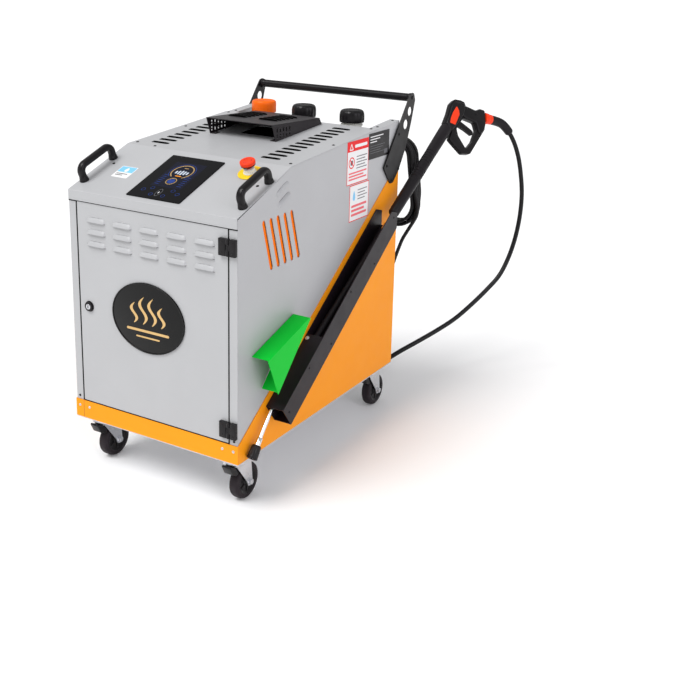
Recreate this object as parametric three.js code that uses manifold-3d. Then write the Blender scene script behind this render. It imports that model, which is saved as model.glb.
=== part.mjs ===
// Steam cleaner on four swivel castors: a sheet-metal cabinet with its boiler, pump and tanks,
// a stowed pressure lance with its hose, and a mains cable hung at the back.
// Millimetres, +Z up. The door faces -Y, the lance side is +X, and the wheels stand on Z = 0.
import * as THREE from 'three';
import * as BufferGeometryUtils from 'three/addons/utils/BufferGeometryUtils.js';
import Module from 'manifold-3d';

const wasm = await Module();
wasm.setup();

// ---------------------------------------------------------------- driving dimensions
const SHEET = 2; // sheet-metal thickness
const GAP = 0.3; // clearance between pieces that touch
const CABINET_HALF_W = 279;
const CABINET_DEPTH = 850;
const BASE_Z = 144; // underside of the base tray, on top of the castors
const TRAY_T = 3;
const SKIRT_TOP_Z = 199;
const PLATE_REAR_Z = 817; // top of the orange side plates at the back
const LIP_BOTTOM_Z = 779;
const LIP_TOP_Z = 807;
const BEND_Y = 239; // fold between the control panel and the deck
const DECK_SLOT_ENDS = [[-223, -172], [157, 208]]; // the two rows of cooling slots beside the hood
const BEND_Z = 898;
const SIDE_REAR_Z = 949;
const DECK_END_Y = 708; // the deck steps down here to the filler shelf
const SHELF_Z = 905;
const DOOR_HALF_W = 250.5;
const DOOR_BOTTOM_Z = 202;
const DOOR_TOP_Z = 776.5;
const DOOR_DEPTH = 18;
const FRAME_OPENING_HALF_W = 252.5;
const FRAME_BACK_Y = 2.3;
const HINGE_AXIS_X = 254;
const HINGE_AXIS_Y = -5.5;
const HINGE_ZS = { upper: 731, lower: 241 };
const LOCK_X = -218;
const LOCK_Z = 485;
const WHEEL_R = 51;
const WHEEL_W = 30;
const CASTOR_X = 232;
const CASTOR_YS = { front: 55, rear: 782 }; // swivel axes
const CASTOR_TRAIL = 38;
const BAR_Y = 918;
const BAR_Z = 1009;
const BAR_R = 12.5;
const PLATE_INNER_X = 282.4; // inner face of the push handle's plates
const PLATE_T = 4;
const CAP_Y = 755;
const CAP_XS = { left: -163, middle: -11, right: 163 };
const CAP_R = 39;
const CAP_BOTTOM_Z = 941;
const CAP_TOP_Z = 979;
const HOSE_R = 6;
const CABLE_R = 6;
const HANK = { x: 223, y: 965, zLow: 658, zHigh: 811, rLow: 70, rHigh: 50, half: 12, depth: 24 };

const CONTROL_SLOPE = Math.atan2(BEND_Z - LIP_TOP_Z, BEND_Y);
const DECK_SLOPE = Math.atan2(SIDE_REAR_Z - BEND_Z, CABINET_DEPTH - BEND_Y);
const controlZ = (y) => LIP_TOP_Z + y * Math.tan(CONTROL_SLOPE);
const deckZ = (y) => BEND_Z + (y - BEND_Y) * Math.tan(DECK_SLOPE);

// ---------------------------------------------------------------- colours and finishes
const finish = (color, roughness, metalness) => new THREE.MeshStandardMaterial({ color, roughness, metalness });
const GREY_PAINT = finish(0xcdcfce, 0.5, 0.1);
const ORANGE_PAINT = finish(0xff8a10, 0.5, 0.1);
const BLACK_PAINT = finish(0x201d20, 0.45, 0.2);
const GREEN_PAINT = finish(0x08c030, 0.5, 0.1);
const ZINC = finish(0xc4c6ca, 0.35, 0.9);
const STEEL = finish(0xd0d2d4, 0.2, 1.0);
const BRASS = finish(0xc89a4a, 0.3, 1.0);
const BLACK_PLASTIC = finish(0x1c1a1c, 0.55, 0.0);
const WHITE_PLASTIC = finish(0xe8e8e2, 0.5, 0.0);
const RUBBER = finish(0x242224, 0.8, 0.0);
const RED_PLASTIC = finish(0xe22818, 0.4, 0.0);
const YELLOW_PLASTIC = finish(0xf4cc20, 0.45, 0.0);
const ORANGE_PLASTIC = finish(0xff6e14, 0.45, 0.0);
const GLASS = finish(0x0a0a12, 0.08, 0.0);

const model = new THREE.Group();

// ---------------------------------------------------------------- solid helpers
const cleaned = (geometry) => {
  const bare = geometry.clone();
  bare.deleteAttribute('normal');
  bare.deleteAttribute('uv');
  return BufferGeometryUtils.mergeVertices(bare, 1e-4);
};

const toSolid = (geometry) => {
  const merged = cleaned(geometry);
  const vertProperties = new Float32Array(merged.attributes.position.array);
  const triVerts = new Uint32Array(merged.index.array);
  return new wasm.Manifold(new wasm.Mesh({ numProp: 3, vertProperties, triVerts }));
};

const toGeometry = (solid) => {
  const mesh = solid.getMesh();
  const geometry = new THREE.BufferGeometry();
  geometry.setAttribute('position', new THREE.BufferAttribute(new Float32Array(mesh.vertProperties), 3));
  geometry.setIndex(new THREE.BufferAttribute(new Uint32Array(mesh.triVerts), 1));
  geometry.computeVertexNormals();
  return geometry;
};

const join = (...pieces) => toGeometry(pieces.map(toSolid).reduce((a, b) => a.add(b)));
const cut = (piece, ...tools) => toGeometry(tools.map(toSolid).reduce((a, b) => a.subtract(b), toSolid(piece)));

const addNode = (name, geometry, material, parent = model) => {
  const mesh = new THREE.Mesh(geometry, material);
  mesh.name = name;
  parent.add(mesh);
  return mesh;
};

// A box given by its lowest and highest corners.
const block = (x0, x1, y0, y1, z0, z1) =>
  new THREE.BoxGeometry(x1 - x0, y1 - y0, z1 - z0).translate((x0 + x1) / 2, (y0 + y1) / 2, (z0 + z1) / 2);

const shapeOf = (points, holes = []) => {
  const shape = new THREE.Shape(points.map(([a, b]) => new THREE.Vector2(a, b)));
  for (const hole of holes) shape.holes.push(new THREE.Path(hole.map(([a, b]) => new THREE.Vector2(a, b))));
  return shape;
};

const AXES = {
  X: [[0, 1, 0], [0, 0, 1], [1, 0, 0]], // outline in Y, Z, thickness along X
  Y: [[1, 0, 0], [0, 0, 1], [0, -1, 0]], // outline in X, Z, thickness along Y
  Z: [[1, 0, 0], [0, 1, 0], [0, 0, 1]],
};

// A flat plate: an outline with holes, thick from one height to another along an axis.
const plate = (axis, points, from, to, holes = []) => {
  const geometry = new THREE.ExtrudeGeometry(shapeOf(points, holes), { depth: to - from, bevelEnabled: false });
  const [u, v, w] = AXES[axis].map((a) => new THREE.Vector3(...a));
  geometry.applyMatrix4(new THREE.Matrix4().makeBasis(u, v, w));
  const shift = axis === 'Y' ? new THREE.Vector3(0, to, 0) : w.clone().multiplyScalar(from);
  return geometry.translate(shift.x, shift.y, shift.z);
};

const circle = (a, b, r, sides = 24) => Array.from({ length: sides }, (_, i) => {
  const t = (i / sides) * 2 * Math.PI;
  return [a + r * Math.cos(t), b + r * Math.sin(t)];
});

// A slot outline with round ends, from one end centre to the other.
const slot = (a0, b0, a1, b1, r, steps = 3) => {
  const heading = Math.atan2(b1 - b0, a1 - a0);
  const ends = [[a1, b1, heading - Math.PI / 2], [a0, b0, heading + Math.PI / 2]];
  return ends.flatMap(([a, b, start]) => Array.from({ length: steps + 1 }, (_, i) => {
    const t = start + (i / steps) * Math.PI;
    return [a + r * Math.cos(t), b + r * Math.sin(t)];
  }));
};

// An outline whose listed corners are replaced by arcs of the given radius.
const rounded = (corners, steps = 4) => corners.flatMap(([a, b, r = 0], i) => {
  if (r === 0) return [[a, b]];
  const here = new THREE.Vector2(a, b);
  const [pa, pb] = corners[(i + corners.length - 1) % corners.length];
  const [na, nb] = corners[(i + 1) % corners.length];
  const toPrev = new THREE.Vector2(pa, pb).sub(here).normalize();
  const toNext = new THREE.Vector2(na, nb).sub(here).normalize();
  const half = Math.acos(THREE.MathUtils.clamp(toPrev.dot(toNext), -1, 1)) / 2;
  const start = here.clone().addScaledVector(toPrev, r / Math.tan(half));
  const end = here.clone().addScaledVector(toNext, r / Math.tan(half));
  const centre = here.clone().addScaledVector(toPrev.clone().add(toNext).normalize(), r / Math.sin(half));
  const a0 = Math.atan2(start.y - centre.y, start.x - centre.x);
  let sweep = Math.atan2(end.y - centre.y, end.x - centre.x) - a0;
  if (sweep > Math.PI) sweep -= 2 * Math.PI;
  if (sweep < -Math.PI) sweep += 2 * Math.PI;
  return Array.from({ length: steps + 1 }, (_, k) => {
    const t = a0 + (sweep * k) / steps;
    return [centre.x + r * Math.cos(t), centre.y + r * Math.sin(t)];
  });
});

// A turned piece: radius and height pairs round +Z, moved to a base point and pointed along a direction.
const turned = (profile, base = [0, 0, 0], direction = [0, 0, 1], sides = 24) => {
  const geometry = new THREE.LatheGeometry(profile.map(([r, h]) => new THREE.Vector2(r, h)), sides);
  const quaternion = new THREE.Quaternion();
  quaternion.setFromUnitVectors(new THREE.Vector3(0, 1, 0), new THREE.Vector3(...direction).normalize());
  return cleaned(geometry).applyQuaternion(quaternion).translate(...base);
};

const rod = (from, to, r, sides = 16) => {
  const a = new THREE.Vector3(...from);
  const along = new THREE.Vector3(...to).sub(a);
  const length = along.length();
  return turned([[0, 0], [r, 0], [r, length], [0, length]], from, along.toArray(), sides);
};

// A round tube along a smooth curve through points.
const tube = (points, r, steps, sides = 10) => {
  const curve = new THREE.CatmullRomCurve3(points.map((p) => new THREE.Vector3(...p)), false, 'centripetal');
  const section = shapeOf(circle(0, 0, r, sides));
  return cleaned(new THREE.ExtrudeGeometry(section, { steps, extrudePath: curve, bevelEnabled: false }));
};

// ---------------------------------------------------------------- cabinet
function buildBase() {
  const w = CABINET_HALF_W + 2.6;
  const tray = block(-w, w, 0, CABINET_DEPTH, BASE_Z, BASE_Z + TRAY_T);
  const lipTop = BASE_Z + 30;
  const lipFront = block(-CABINET_HALF_W + 4, CABINET_HALF_W - 4, 5, 5 + SHEET, BASE_Z + 1, lipTop);
  const lipRear = block(-CABINET_HALF_W + 4, CABINET_HALF_W - 4, CABINET_DEPTH - 7, CABINET_DEPTH - 5, BASE_Z + 1, lipTop);
  addNode('base_tray', join(tray, lipFront, lipRear), ZINC);

  const bottom = BASE_Z + TRAY_T + GAP;
  const skirt = block(-CABINET_HALF_W - 2.4, CABINET_HALF_W + 2.4, -SHEET, 0, bottom, SKIRT_TOP_Z);
  addNode('front_skirt', skirt, ORANGE_PAINT);
}

// The side panel's outline in Y and Z, below the deck and the control panel that cover its top edge.
const sideOutline = (y0, y1) => {
  const under = SHEET + GAP;
  return [
    [y0, BASE_Z + TRAY_T + GAP],
    [y1, BASE_Z + TRAY_T + GAP],
    [y1, deckZ(y1) - under],
    [BEND_Y, BEND_Z - under],
    [y0, controlZ(y0) - under - 3],
  ];
};

function buildSidePanel(name, side) {
  const inner = CABINET_HALF_W - SHEET;
  const y0 = FRAME_BACK_Y + GAP;
  const y1 = CABINET_DEPTH - SHEET - GAP;
  const slots = side > 0 ? Array.from({ length: 5 }, (_, i) => {
    const y = 113 + i * 32.4;
    return slot(y, 772 + i * 0.6, y + 37, 645 + i * 0.6, 7);
  }) : [];
  const wall = plate('X', sideOutline(y0, y1), side > 0 ? inner : -CABINET_HALF_W, side > 0 ? CABINET_HALF_W : -inner, slots);
  const flangeOutline = [
    [BEND_Y + 4, deckZ(BEND_Y + 4) - 2 * SHEET - GAP],
    [y1, deckZ(y1) - 2 * SHEET - GAP],
    [y1, deckZ(y1) - SHEET - GAP],
    [BEND_Y + 4, deckZ(BEND_Y + 4) - SHEET - GAP],
  ];
  const flangeW = 30;
  const x0 = side > 0 ? inner - flangeW : -inner - 0.5;
  const x1 = side > 0 ? inner + 0.5 : -inner + flangeW;
  addNode(name, join(wall, plate('X', flangeOutline, x0, x1)), GREY_PAINT);
}

function buildSidePlate(name, side) {
  const x0 = CABINET_HALF_W + GAP;
  const x1 = x0 + 2.1;
  const bottom = BASE_Z + TRAY_T + GAP;
  // The plate's front edge butts on the back of the skirt.
  const outline = [
    [GAP, bottom],
    [CABINET_DEPTH, bottom],
    [CABINET_DEPTH, PLATE_REAR_Z],
    [GAP, SKIRT_TOP_Z],
  ];
  const [from, to] = side > 0 ? [x0, x1] : [-x1, -x0];
  addNode(name, plate('X', outline, from, to), ORANGE_PAINT);
}

function buildRearPanel() {
  const w = CABINET_HALF_W - SHEET - GAP;
  const outline = [[-w, BASE_Z + TRAY_T + GAP], [w, BASE_Z + TRAY_T + GAP], [w, SHELF_Z - SHEET - GAP], [-w, SHELF_Z - SHEET - GAP]];
  const vents = [];
  for (let row = 0; row < 8; row += 1) vents.push(slot(-120, 560 + row * 22, 20, 560 + row * 22, 4));
  const wall = plate('Y', outline, CABINET_DEPTH - SHEET, CABINET_DEPTH, vents);
  // Welded hook that carries the mains cable.
  const plateHook = block(HANK.x - 20, HANK.x + 20, CABINET_DEPTH - 1, CABINET_DEPTH + 4, 826, 882);
  const armZ = HANK.zHigh + HANK.rHigh - HANK.half - 6.5;
  const arm = rod([HANK.x, CABINET_DEPTH, armZ], [HANK.x, 1004, armZ], 6);
  const tip = rod([HANK.x, 998, armZ - 2], [HANK.x, 998, armZ + 36], 6);
  addNode('rear_panel', join(wall, plateHook, arm, tip), GREY_PAINT);
}

function buildDeck() {
  const w = CABINET_HALF_W;
  const y0 = BEND_Y + GAP;
  const slope = plate('X', [
    [y0, deckZ(y0) - SHEET],
    [DECK_END_Y, deckZ(DECK_END_Y) - SHEET],
    [DECK_END_Y, deckZ(DECK_END_Y)],
    [y0, deckZ(y0)],
  ], -w, w);
  const stepW = CABINET_HALF_W - SHEET - 33;
  const drop = block(-stepW, stepW, DECK_END_Y - SHEET, DECK_END_Y, SHELF_Z - SHEET, deckZ(DECK_END_Y) - 0.5);
  const shelfW = CABINET_HALF_W - SHEET - GAP;
  const shelfHoles = Object.values(CAP_XS).map((x) => circle(x, CAP_Y, 34, 20));
  const shelfOutline = [[-shelfW, DECK_END_Y - SHEET], [shelfW, DECK_END_Y - SHEET], [shelfW, CABINET_DEPTH], [-shelfW, CABINET_DEPTH]];
  const shelf = plate('Z', shelfOutline, SHELF_Z - SHEET, SHELF_Z, shelfHoles);
  const slotCount = 12;
  const pitch = (656 - 284) / (slotCount - 1);
  const tools = [];
  for (let i = 0; i < slotCount; i += 1) {
    const y = 284 + i * pitch;
    for (const [x0, x1] of DECK_SLOT_ENDS) tools.push(plate('Z', slot(x0, y, x1, y, 6.5), 880, 950));
  }
  // The exhaust opening under the hood.
  const exhaust = rounded([[-66, 482, 14], [60, 482, 14], [60, 588, 14], [-66, 588, 14]], 4);
  tools.push(plate('Z', exhaust, 880, 950));
  addNode('deck_panel', cut(join(slope, drop, shelf), ...tools), GREY_PAINT);
}

function buildControlPanel() {
  const w = CABINET_HALF_W;
  const outline = [
    [-SHEET, LIP_BOTTOM_Z],
    [0, LIP_BOTTOM_Z],
    [0, LIP_TOP_Z - SHEET],
    [BEND_Y, BEND_Z - SHEET],
    [BEND_Y, BEND_Z],
    [0, LIP_TOP_Z],
    [-SHEET, LIP_TOP_Z - 1.5],
  ];
  const bar = plate('X', outline, -w, w);
  addNode('control_panel', bar, GREY_PAINT);
}

function buildFrontFrame() {
  const w = CABINET_HALF_W;
  const top = LIP_TOP_Z - 7; // runs up behind the control panel's lip
  const bottom = SKIRT_TOP_Z + GAP;
  const o = FRAME_OPENING_HALF_W;
  const opening = [[-o, DOOR_BOTTOM_Z - 1.5], [o, DOOR_BOTTOM_Z - 1.5], [o, DOOR_TOP_Z + 1.5], [-o, DOOR_TOP_Z + 1.5]];
  const face = plate('Y', [[-w, bottom], [w, bottom], [w, top], [-w, top]], GAP, FRAME_BACK_Y, [opening]);
  // A stop strip behind the opening that the door closes against.
  const stopOuter = [[-o - 8, 185], [o + 8, 185], [o + 8, 785], [-o - 8, 785]];
  const stopInner = [[-o + 22, 222], [o - 22, 222], [o - 22, 757], [-o + 22, 757]];
  const stop = plate('Y', stopOuter, DOOR_DEPTH + 4, DOOR_DEPTH + 6, [stopInner]);
  const webs = [-o - 8, o + 6].map((x) => block(x, x + SHEET, 1, DOOR_DEPTH + 5, 205, 770));
  addNode('front_frame', join(face, stop, ...webs), GREY_PAINT);
}

// ---------------------------------------------------------------- door
const hingeHeights = (z) => ({ z0: z - 21.5, z1: z + 21.5, k0: z - 8, k1: z + 8 });

function buildDoor() {
  const w = DOOR_HALF_W;
  const [z0, z1] = [DOOR_BOTTOM_Z, DOOR_TOP_Z];
  const louvers = [];
  for (let row = 0; row < 3; row += 1) {
    for (let column = 0; column < 5; column += 1) {
      const x = -212 + column * 90.5;
      const z = 731 - row * 33;
      louvers.push(block(x, x + 56, -1, SHEET + 1, z - 5, z - 2));
    }
  }
  const lockHole = rod([LOCK_X, -1, LOCK_Z], [LOCK_X, SHEET + 1, LOCK_Z], 14, 24);
  const skin = plate('Y', rounded([[-w, z0, 2], [w, z0, 2], [w, z1, 2], [-w, z1, 2]], 2), 0, SHEET);
  const outer = [[-w + 1, z0 + 1], [w - 1, z0 + 1], [w - 1, z1 - 1], [-w + 1, z1 - 1]];
  const inner = [[-w + 3, z0 + 3], [w - 3, z0 + 3], [w - 3, z1 - 3], [-w + 3, z1 - 3]];
  const rim = plate('Y', outer, 1, DOOR_DEPTH, [inner]);
  const leaves = Object.values(HINGE_ZS).flatMap((z) => {
    const { z0: a, z1: b, k0, k1 } = hingeHeights(z);
    const leaf = block(230, 247.5, HINGE_AXIS_Y - 4.5, 0.5, a, b);
    const ends = [[a, k0 - GAP], [k1 + GAP, b]].flatMap(([from, to]) => [
      rod([HINGE_AXIS_X, HINGE_AXIS_Y, from], [HINGE_AXIS_X, HINGE_AXIS_Y, to], 4.2, 16),
      block(246, HINGE_AXIS_X, HINGE_AXIS_Y - 2, HINGE_AXIS_Y + 2, from, to),
    ]);
    return [leaf, ...ends];
  });
  addNode('door_panel', cut(join(skin, rim, ...leaves), ...louvers, lockHole), GREY_PAINT);

  for (const [name, z] of Object.entries(HINGE_ZS)) {
    const { z0: a, z1: b, k0, k1 } = hingeHeights(z);
    const leaf = block(261.5, 278, HINGE_AXIS_Y - 4.5, -GAP, a, b);
    const knuckle = rod([HINGE_AXIS_X, HINGE_AXIS_Y, k0], [HINGE_AXIS_X, HINGE_AXIS_Y, k1], 4.2, 16);
    const web = block(HINGE_AXIS_X, 262, HINGE_AXIS_Y - 2, HINGE_AXIS_Y + 2, k0, k1);
    addNode(`door_hinge_${name}`, join(leaf, knuckle, web), BLACK_PAINT);
  }

  // Quarter-turn lock: a turned barrel through the door and a cam behind it.
  const barrel = turned([[0, -6], [13, -6], [13.2, -4], [13.2, 0.5 - GAP], [13.2, 6], [8, 6], [8, 29], [0, 29]], [LOCK_X, 0, LOCK_Z], [0, 1, 0]);
  const cam = block(LOCK_X - 7, LOCK_X + 7, 26, 29, LOCK_Z - 9, LOCK_Z + 34);
  addNode('door_lock', join(barrel, cam), ZINC);
}

// ---------------------------------------------------------------- controls
const controls = new THREE.Group();
controls.position.set(0, 0, LIP_TOP_Z);
controls.rotation.x = CONTROL_SLOPE; // Y now runs up the control panel, Z stands square to it
model.add(controls);

function buildControls() {
  const screen = rounded([[-89, 16, 2], [87, 16, 2], [87, 225, 2], [-89, 225, 2]], 2);
  addNode('display', plate('Z', screen, GAP, 3.2), GLASS, controls);

  const at = [186, 197.7, 0];
  const bezel = turned([
    [0, GAP], [33, GAP], [33, 2.5], [15, 3.5], [13.5, 8], [13.5, 17], [7.4, 17], [7.4, 5], [0, 5],
  ], at, [0, 0, 1]);
  addNode('e_stop_base', bezel, YELLOW_PLASTIC, controls);

  const button = turned([
    [0, 11], [6.8, 11], [6.8, 22.5], [12, 22.5], [12, 25], [19, 25], [20, 27], [20, 33], [18, 37], [11, 39.5], [0, 40.5],
  ], at, [0, 0, 1]);
  addNode('e_stop_button', button, RED_PLASTIC, controls);
}

// A bridge handle standing on the control panel: round feet and an oval bar bent over them.
function buildGrabHandle(name, x) {
  const [y0, y1] = [47, 170];
  const rise = 44;
  const path = new THREE.CurvePath();
  const at = (y, z) => new THREE.Vector3(x, y, z);
  path.add(new THREE.LineCurve3(at(y0, GAP), at(y0 - 1, 26)));
  path.add(new THREE.QuadraticBezierCurve3(at(y0 - 1, 26), at(y0 - 1, rise), at(y0 + 20, rise)));
  path.add(new THREE.LineCurve3(at(y0 + 20, rise), at(y1 - 20, rise)));
  path.add(new THREE.QuadraticBezierCurve3(at(y1 - 20, rise), at(y1 + 1, rise), at(y1 + 1, 26)));
  path.add(new THREE.LineCurve3(at(y1 + 1, 26), at(y1, GAP)));
  const section = shapeOf(circle(0, 0, 8.5, 12));
  const bar = cleaned(new THREE.ExtrudeGeometry(section, { steps: 30, extrudePath: path, bevelEnabled: false }));
  const feet = [y0, y1].map((y) => turned([[0, GAP], [13, GAP], [12, 14], [8, 20], [0, 20]], [x, y, 0], [0, 0, 1], 16));
  const below = block(x - 30, x + 30, 0, 220, -20, GAP);
  addNode(name, cut(join(bar, ...feet), below), BLACK_PLASTIC, controls);
}

// ---------------------------------------------------------------- push handle
function buildPushHandle() {
  const outline = rounded([
    [789, 757, 6], [806, 758, 6], [842, 792, 20], [884, 855, 40], [917, 935, 60],
    [938, 1000, 0], [BAR_Y + 10, 1026, 12], [BAR_Y - 12, 1022, 12], [743, 812, 8],
  ], 4);
  const holes = [circle(905, 968, 15, 20), circle(880, 930, 16, 20)];
  const end = PLATE_INNER_X + PLATE_T;
  addNode('handle_plate_right', plate('X', outline, PLATE_INNER_X, end, holes), BLACK_PAINT);
  addNode('handle_plate_left', plate('X', outline, -end, -PLATE_INNER_X, holes), BLACK_PAINT);
  const half = PLATE_INNER_X - GAP;
  const ring = [[0, 0], [BAR_R + 2, 0], [BAR_R + 2, 6], [BAR_R, 8], [BAR_R, 2 * half - 8], [BAR_R + 2, 2 * half - 6], [BAR_R + 2, 2 * half], [0, 2 * half]];
  addNode('handle_bar', turned(ring, [-half, BAR_Y, BAR_Z], [1, 0, 0], 20), BLACK_PAINT);
}

// ---------------------------------------------------------------- vent hood
function buildHood() {
  const [x0, x1] = [-138, 96];
  const [y0, y1] = [424, 680];
  const [topFront, topRear] = [965, 956];
  const roof = plate('X', [[y0 - 4, topFront - SHEET], [y1 - 6, topRear - SHEET], [y1 - 6, topRear], [y0 - 4, topFront]], x0, x1);
  // Each cheek's front edge leans back and its rear edge runs out towards the deck.
  const cheekOutline = [
    [y0 + 14, deckZ(y0 + 14) + GAP],
    [y1 + 8, deckZ(y1 + 8) + GAP],
    [y1 - 6, topRear - 0.5],
    [y0 - 4, topFront - 0.5],
  ];
  const tools = [];
  for (let column = 0; column < 5; column += 1) {
    const y = y0 + 18 + column * 16;
    const drop = column * 0.6;
    tools.push(block(x0 - 1, x1 + 1, y, y + 7, 941 - drop, 954 - drop));
    tools.push(block(x0 - 1, x1 + 1, y, y + 7, 922 + drop * 2, 935 - drop));
  }
  const cheeks = [[x0, x0 + SHEET], [x1 - SHEET, x1]].map(([a, b]) => plate('X', cheekOutline, a, b));
  const rearY = y1 - 10;
  const rear = block(x0 + 1, x1 - 1, rearY, rearY + SHEET, deckZ(rearY + SHEET) + GAP + 1, topRear - 1.5);
  // The feet are folded inwards under the cheeks' front corners.
  const footY = y0 + 15;
  const feet = [[x0 + 1, x0 + 20], [x1 - 20, x1 - 1]].map(([a, b]) => plate('X', [
    [footY, deckZ(footY) + GAP],
    [footY + 20, deckZ(footY + 20) + GAP],
    [footY + 20, deckZ(footY + 20) + GAP + SHEET],
    [footY, deckZ(footY) + GAP + SHEET],
  ], a, b));
  for (const x of [-115, -6]) {
    for (let i = 0; i < 6; i += 1) tools.push(plate('Z', slot(x, 504 + i * 21, x + 58, 504 + i * 21, 6), 940, 975));
  }
  addNode('vent_hood', cut(join(roof, ...cheeks, rear, ...feet), ...tools), BLACK_PAINT);
}

// ---------------------------------------------------------------- tanks and filler caps
function buildTanks() {
  const spans = { left: [-270, -92], middle: [-86, 68], right: [74, 270] };
  const tops = { left: 890, middle: 890, right: 890 };
  for (const [name, [x0, x1]] of Object.entries(spans)) {
    const body = block(x0, x1, 700, 840, 560, tops[name]);
    const neck = turned([[0, 0], [30, 0], [30, 84], [26, 84], [26, 60], [0, 60]], [CAP_XS[name], CAP_Y, 884], [0, 0, 1], 20);
    addNode(`tank_${name}`, join(body, neck), WHITE_PLASTIC);
    const cap = turned([
      [0, CAP_TOP_Z], [CAP_R - 8, CAP_TOP_Z], [CAP_R, CAP_TOP_Z - 7], [CAP_R, CAP_BOTTOM_Z],
      [31.5, CAP_BOTTOM_Z], [31.5, CAP_TOP_Z - 8], [0, CAP_TOP_Z - 8],
    ].reverse(), [CAP_XS[name], CAP_Y, 0], [0, 0, 1], 28);
    addNode(`filler_cap_${name}`, cap, name === 'left' ? ORANGE_PLASTIC : BLACK_PLASTIC);
  }
}

// ---------------------------------------------------------------- castors
function buildCastor(name, x, y) {
  const top = BASE_Z - GAP;
  const headBottom = top - 22;
  const axleY = y + CASTOR_TRAIL;
  const legGap = WHEEL_W / 2 + 3;
  const head = turned([[0, headBottom], [27, headBottom], [30, headBottom + 6], [30, top - 8], [34, top - 4], [34, top], [0, top]], [x, y, 0], [0, 0, 1], 20);
  const crown = block(x - legGap - 3, x + legGap + 3, y - 26, y + 43, headBottom - 3, headBottom + 1);
  const leg = rounded([
    [y - 24, headBottom, 0], [y + 43, headBottom, 0], [axleY + 12, WHEEL_R, 0],
    [axleY + 8, WHEEL_R - 11, 6], [axleY - 8, WHEEL_R - 11, 6], [axleY - 13, WHEEL_R + 4, 0],
  ], 3);
  const legs = [[-legGap - 3, -legGap], [legGap, legGap + 3]].map(([a, b]) => plate('X', leg, x + a, x + b));
  const axle = rod([x - legGap - 9, axleY, WHEEL_R], [x + legGap + 9, axleY, WHEEL_R], 5, 12);
  addNode(`castor_fork_${name}`, join(head, crown, ...legs, axle), ZINC);

  const half = WHEEL_W / 2;
  const hub = half + 2;
  const wheel = turned([
    [5.6, -hub], [12, -hub], [14, -half + 4], [36, -half + 4], [42, -half], [WHEEL_R - 4, -half + 1], [WHEEL_R, -half + 7],
    [WHEEL_R, half - 7], [WHEEL_R - 4, half - 1], [42, half], [36, half - 4], [14, half - 4], [12, hub], [5.6, hub], [5.6, -hub],
  ], [x, axleY, WHEEL_R], [1, 0, 0], 28);
  addNode(`castor_wheel_${name}`, wheel, RUBBER);

  // Brake pedal: a curved shoe over the front of the wheel, pivoted between the legs.
  const pedal = rounded([
    [y + 22, WHEEL_R + 59.8, 0], [y - 4, headBottom - 5.5, 0], [y - 24, headBottom - 5.5, 0],
    [y - 40, headBottom + 2, 2], [y - 42, headBottom - 2, 2], [y - 30, headBottom - 26, 6],
    [y - 12, WHEEL_R + 35, 0], [y + 6, WHEEL_R + 50.5, 0],
  ], 2);
  addNode(`castor_pedal_${name}`, plate('X', pedal, x - 15, x + 15), BLACK_PLASTIC);
}

// ---------------------------------------------------------------- lance holder
const HOLDER_ANGLE = Math.atan2(PLATE_REAR_Z - SKIRT_TOP_Z, CABINET_DEPTH); // along the side plate's sloping edge
const HOLDER_DEPTH = 68;
const HOLDER_LENGTH = 746;
const HOLDER_X = [PLATE_INNER_X, 337];

function buildLanceHolder() {
  const holder = new THREE.Group();
  holder.position.set(0, 124, 266);
  holder.rotation.x = HOLDER_ANGLE; // Y runs up the channel, Z is 0 at its open edge
  model.add(holder);
  const [x0, x1] = HOLDER_X;
  // The channel's upper end is cut off upright, with its top corner bevelled.
  const floorLength = HOLDER_LENGTH - (HOLDER_DEPTH - 29) * Math.tan(HOLDER_ANGLE);
  const wall = [[0, -HOLDER_DEPTH], [floorLength, -HOLDER_DEPTH], [HOLDER_LENGTH, -29], [HOLDER_LENGTH - 23, 0], [0, 0]];
  const walls = [[x0, x0 + SHEET], [x1 - SHEET, x1]].map(([a, b]) => plate('X', wall, a, b));
  const floor = block(x0, x1, 0, floorLength, -HOLDER_DEPTH, -HOLDER_DEPTH + SHEET);
  const coverLength = 245;
  const cover = block(x0, x1, 0, coverLength, -SHEET, 0);
  addNode('lance_holder', join(...walls, floor, cover), BLACK_PAINT, holder);
}

// Wedge-shaped pocket of folded sheet that stands off the side panel.
function buildHosePocket() {
  const outer = rounded([[56, 428, 0], [104, 320, 0], [248, 474, 0], [268, 493, 4]], 4);
  const inner = [[59.5, 427], [104.8, 324.5], [238, 467], [243, 482]];
  const faceX = 335;
  const walls = plate('X', outer, CABINET_HALF_W + 2.7, faceX, [inner]);
  const face = plate('X', outer, faceX - SHEET, faceX);
  const mouth = plate('X', [[40, 440], [40, 300], [104, 300], [107, 322], [61, 426], [54, 440]], CABINET_HALF_W, faceX - SHEET);
  addNode('hose_pocket', cut(join(walls, face), mouth), GREEN_PAINT);
}

// ---------------------------------------------------------------- lance and gun
const LANCE_LOW = new THREE.Vector3(297, 130, 257);
const LANCE_HIGH = new THREE.Vector3(320, 1130, 905);
const LANCE_DIR = LANCE_HIGH.clone().sub(LANCE_LOW).normalize();
const lanceAt = (distance) => LANCE_HIGH.clone().addScaledVector(LANCE_DIR, distance).toArray();
const GRIP_LENGTH = 436;
const TUBE_R = 6;

// The gun's own frame: X on along the lance, Y across towards its trigger guard.
const GRIP_HINT = new THREE.Vector3(64, 138, -33);
const gunY = GRIP_HINT.clone().addScaledVector(LANCE_DIR, -GRIP_HINT.dot(LANCE_DIR)).normalize();
const gunZ = LANCE_DIR.clone().cross(gunY);
const gun = new THREE.Group();
gun.quaternion.setFromRotationMatrix(new THREE.Matrix4().makeBasis(LANCE_DIR, gunY, gunZ));
gun.position.copy(LANCE_HIGH);
model.add(gun);

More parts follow.
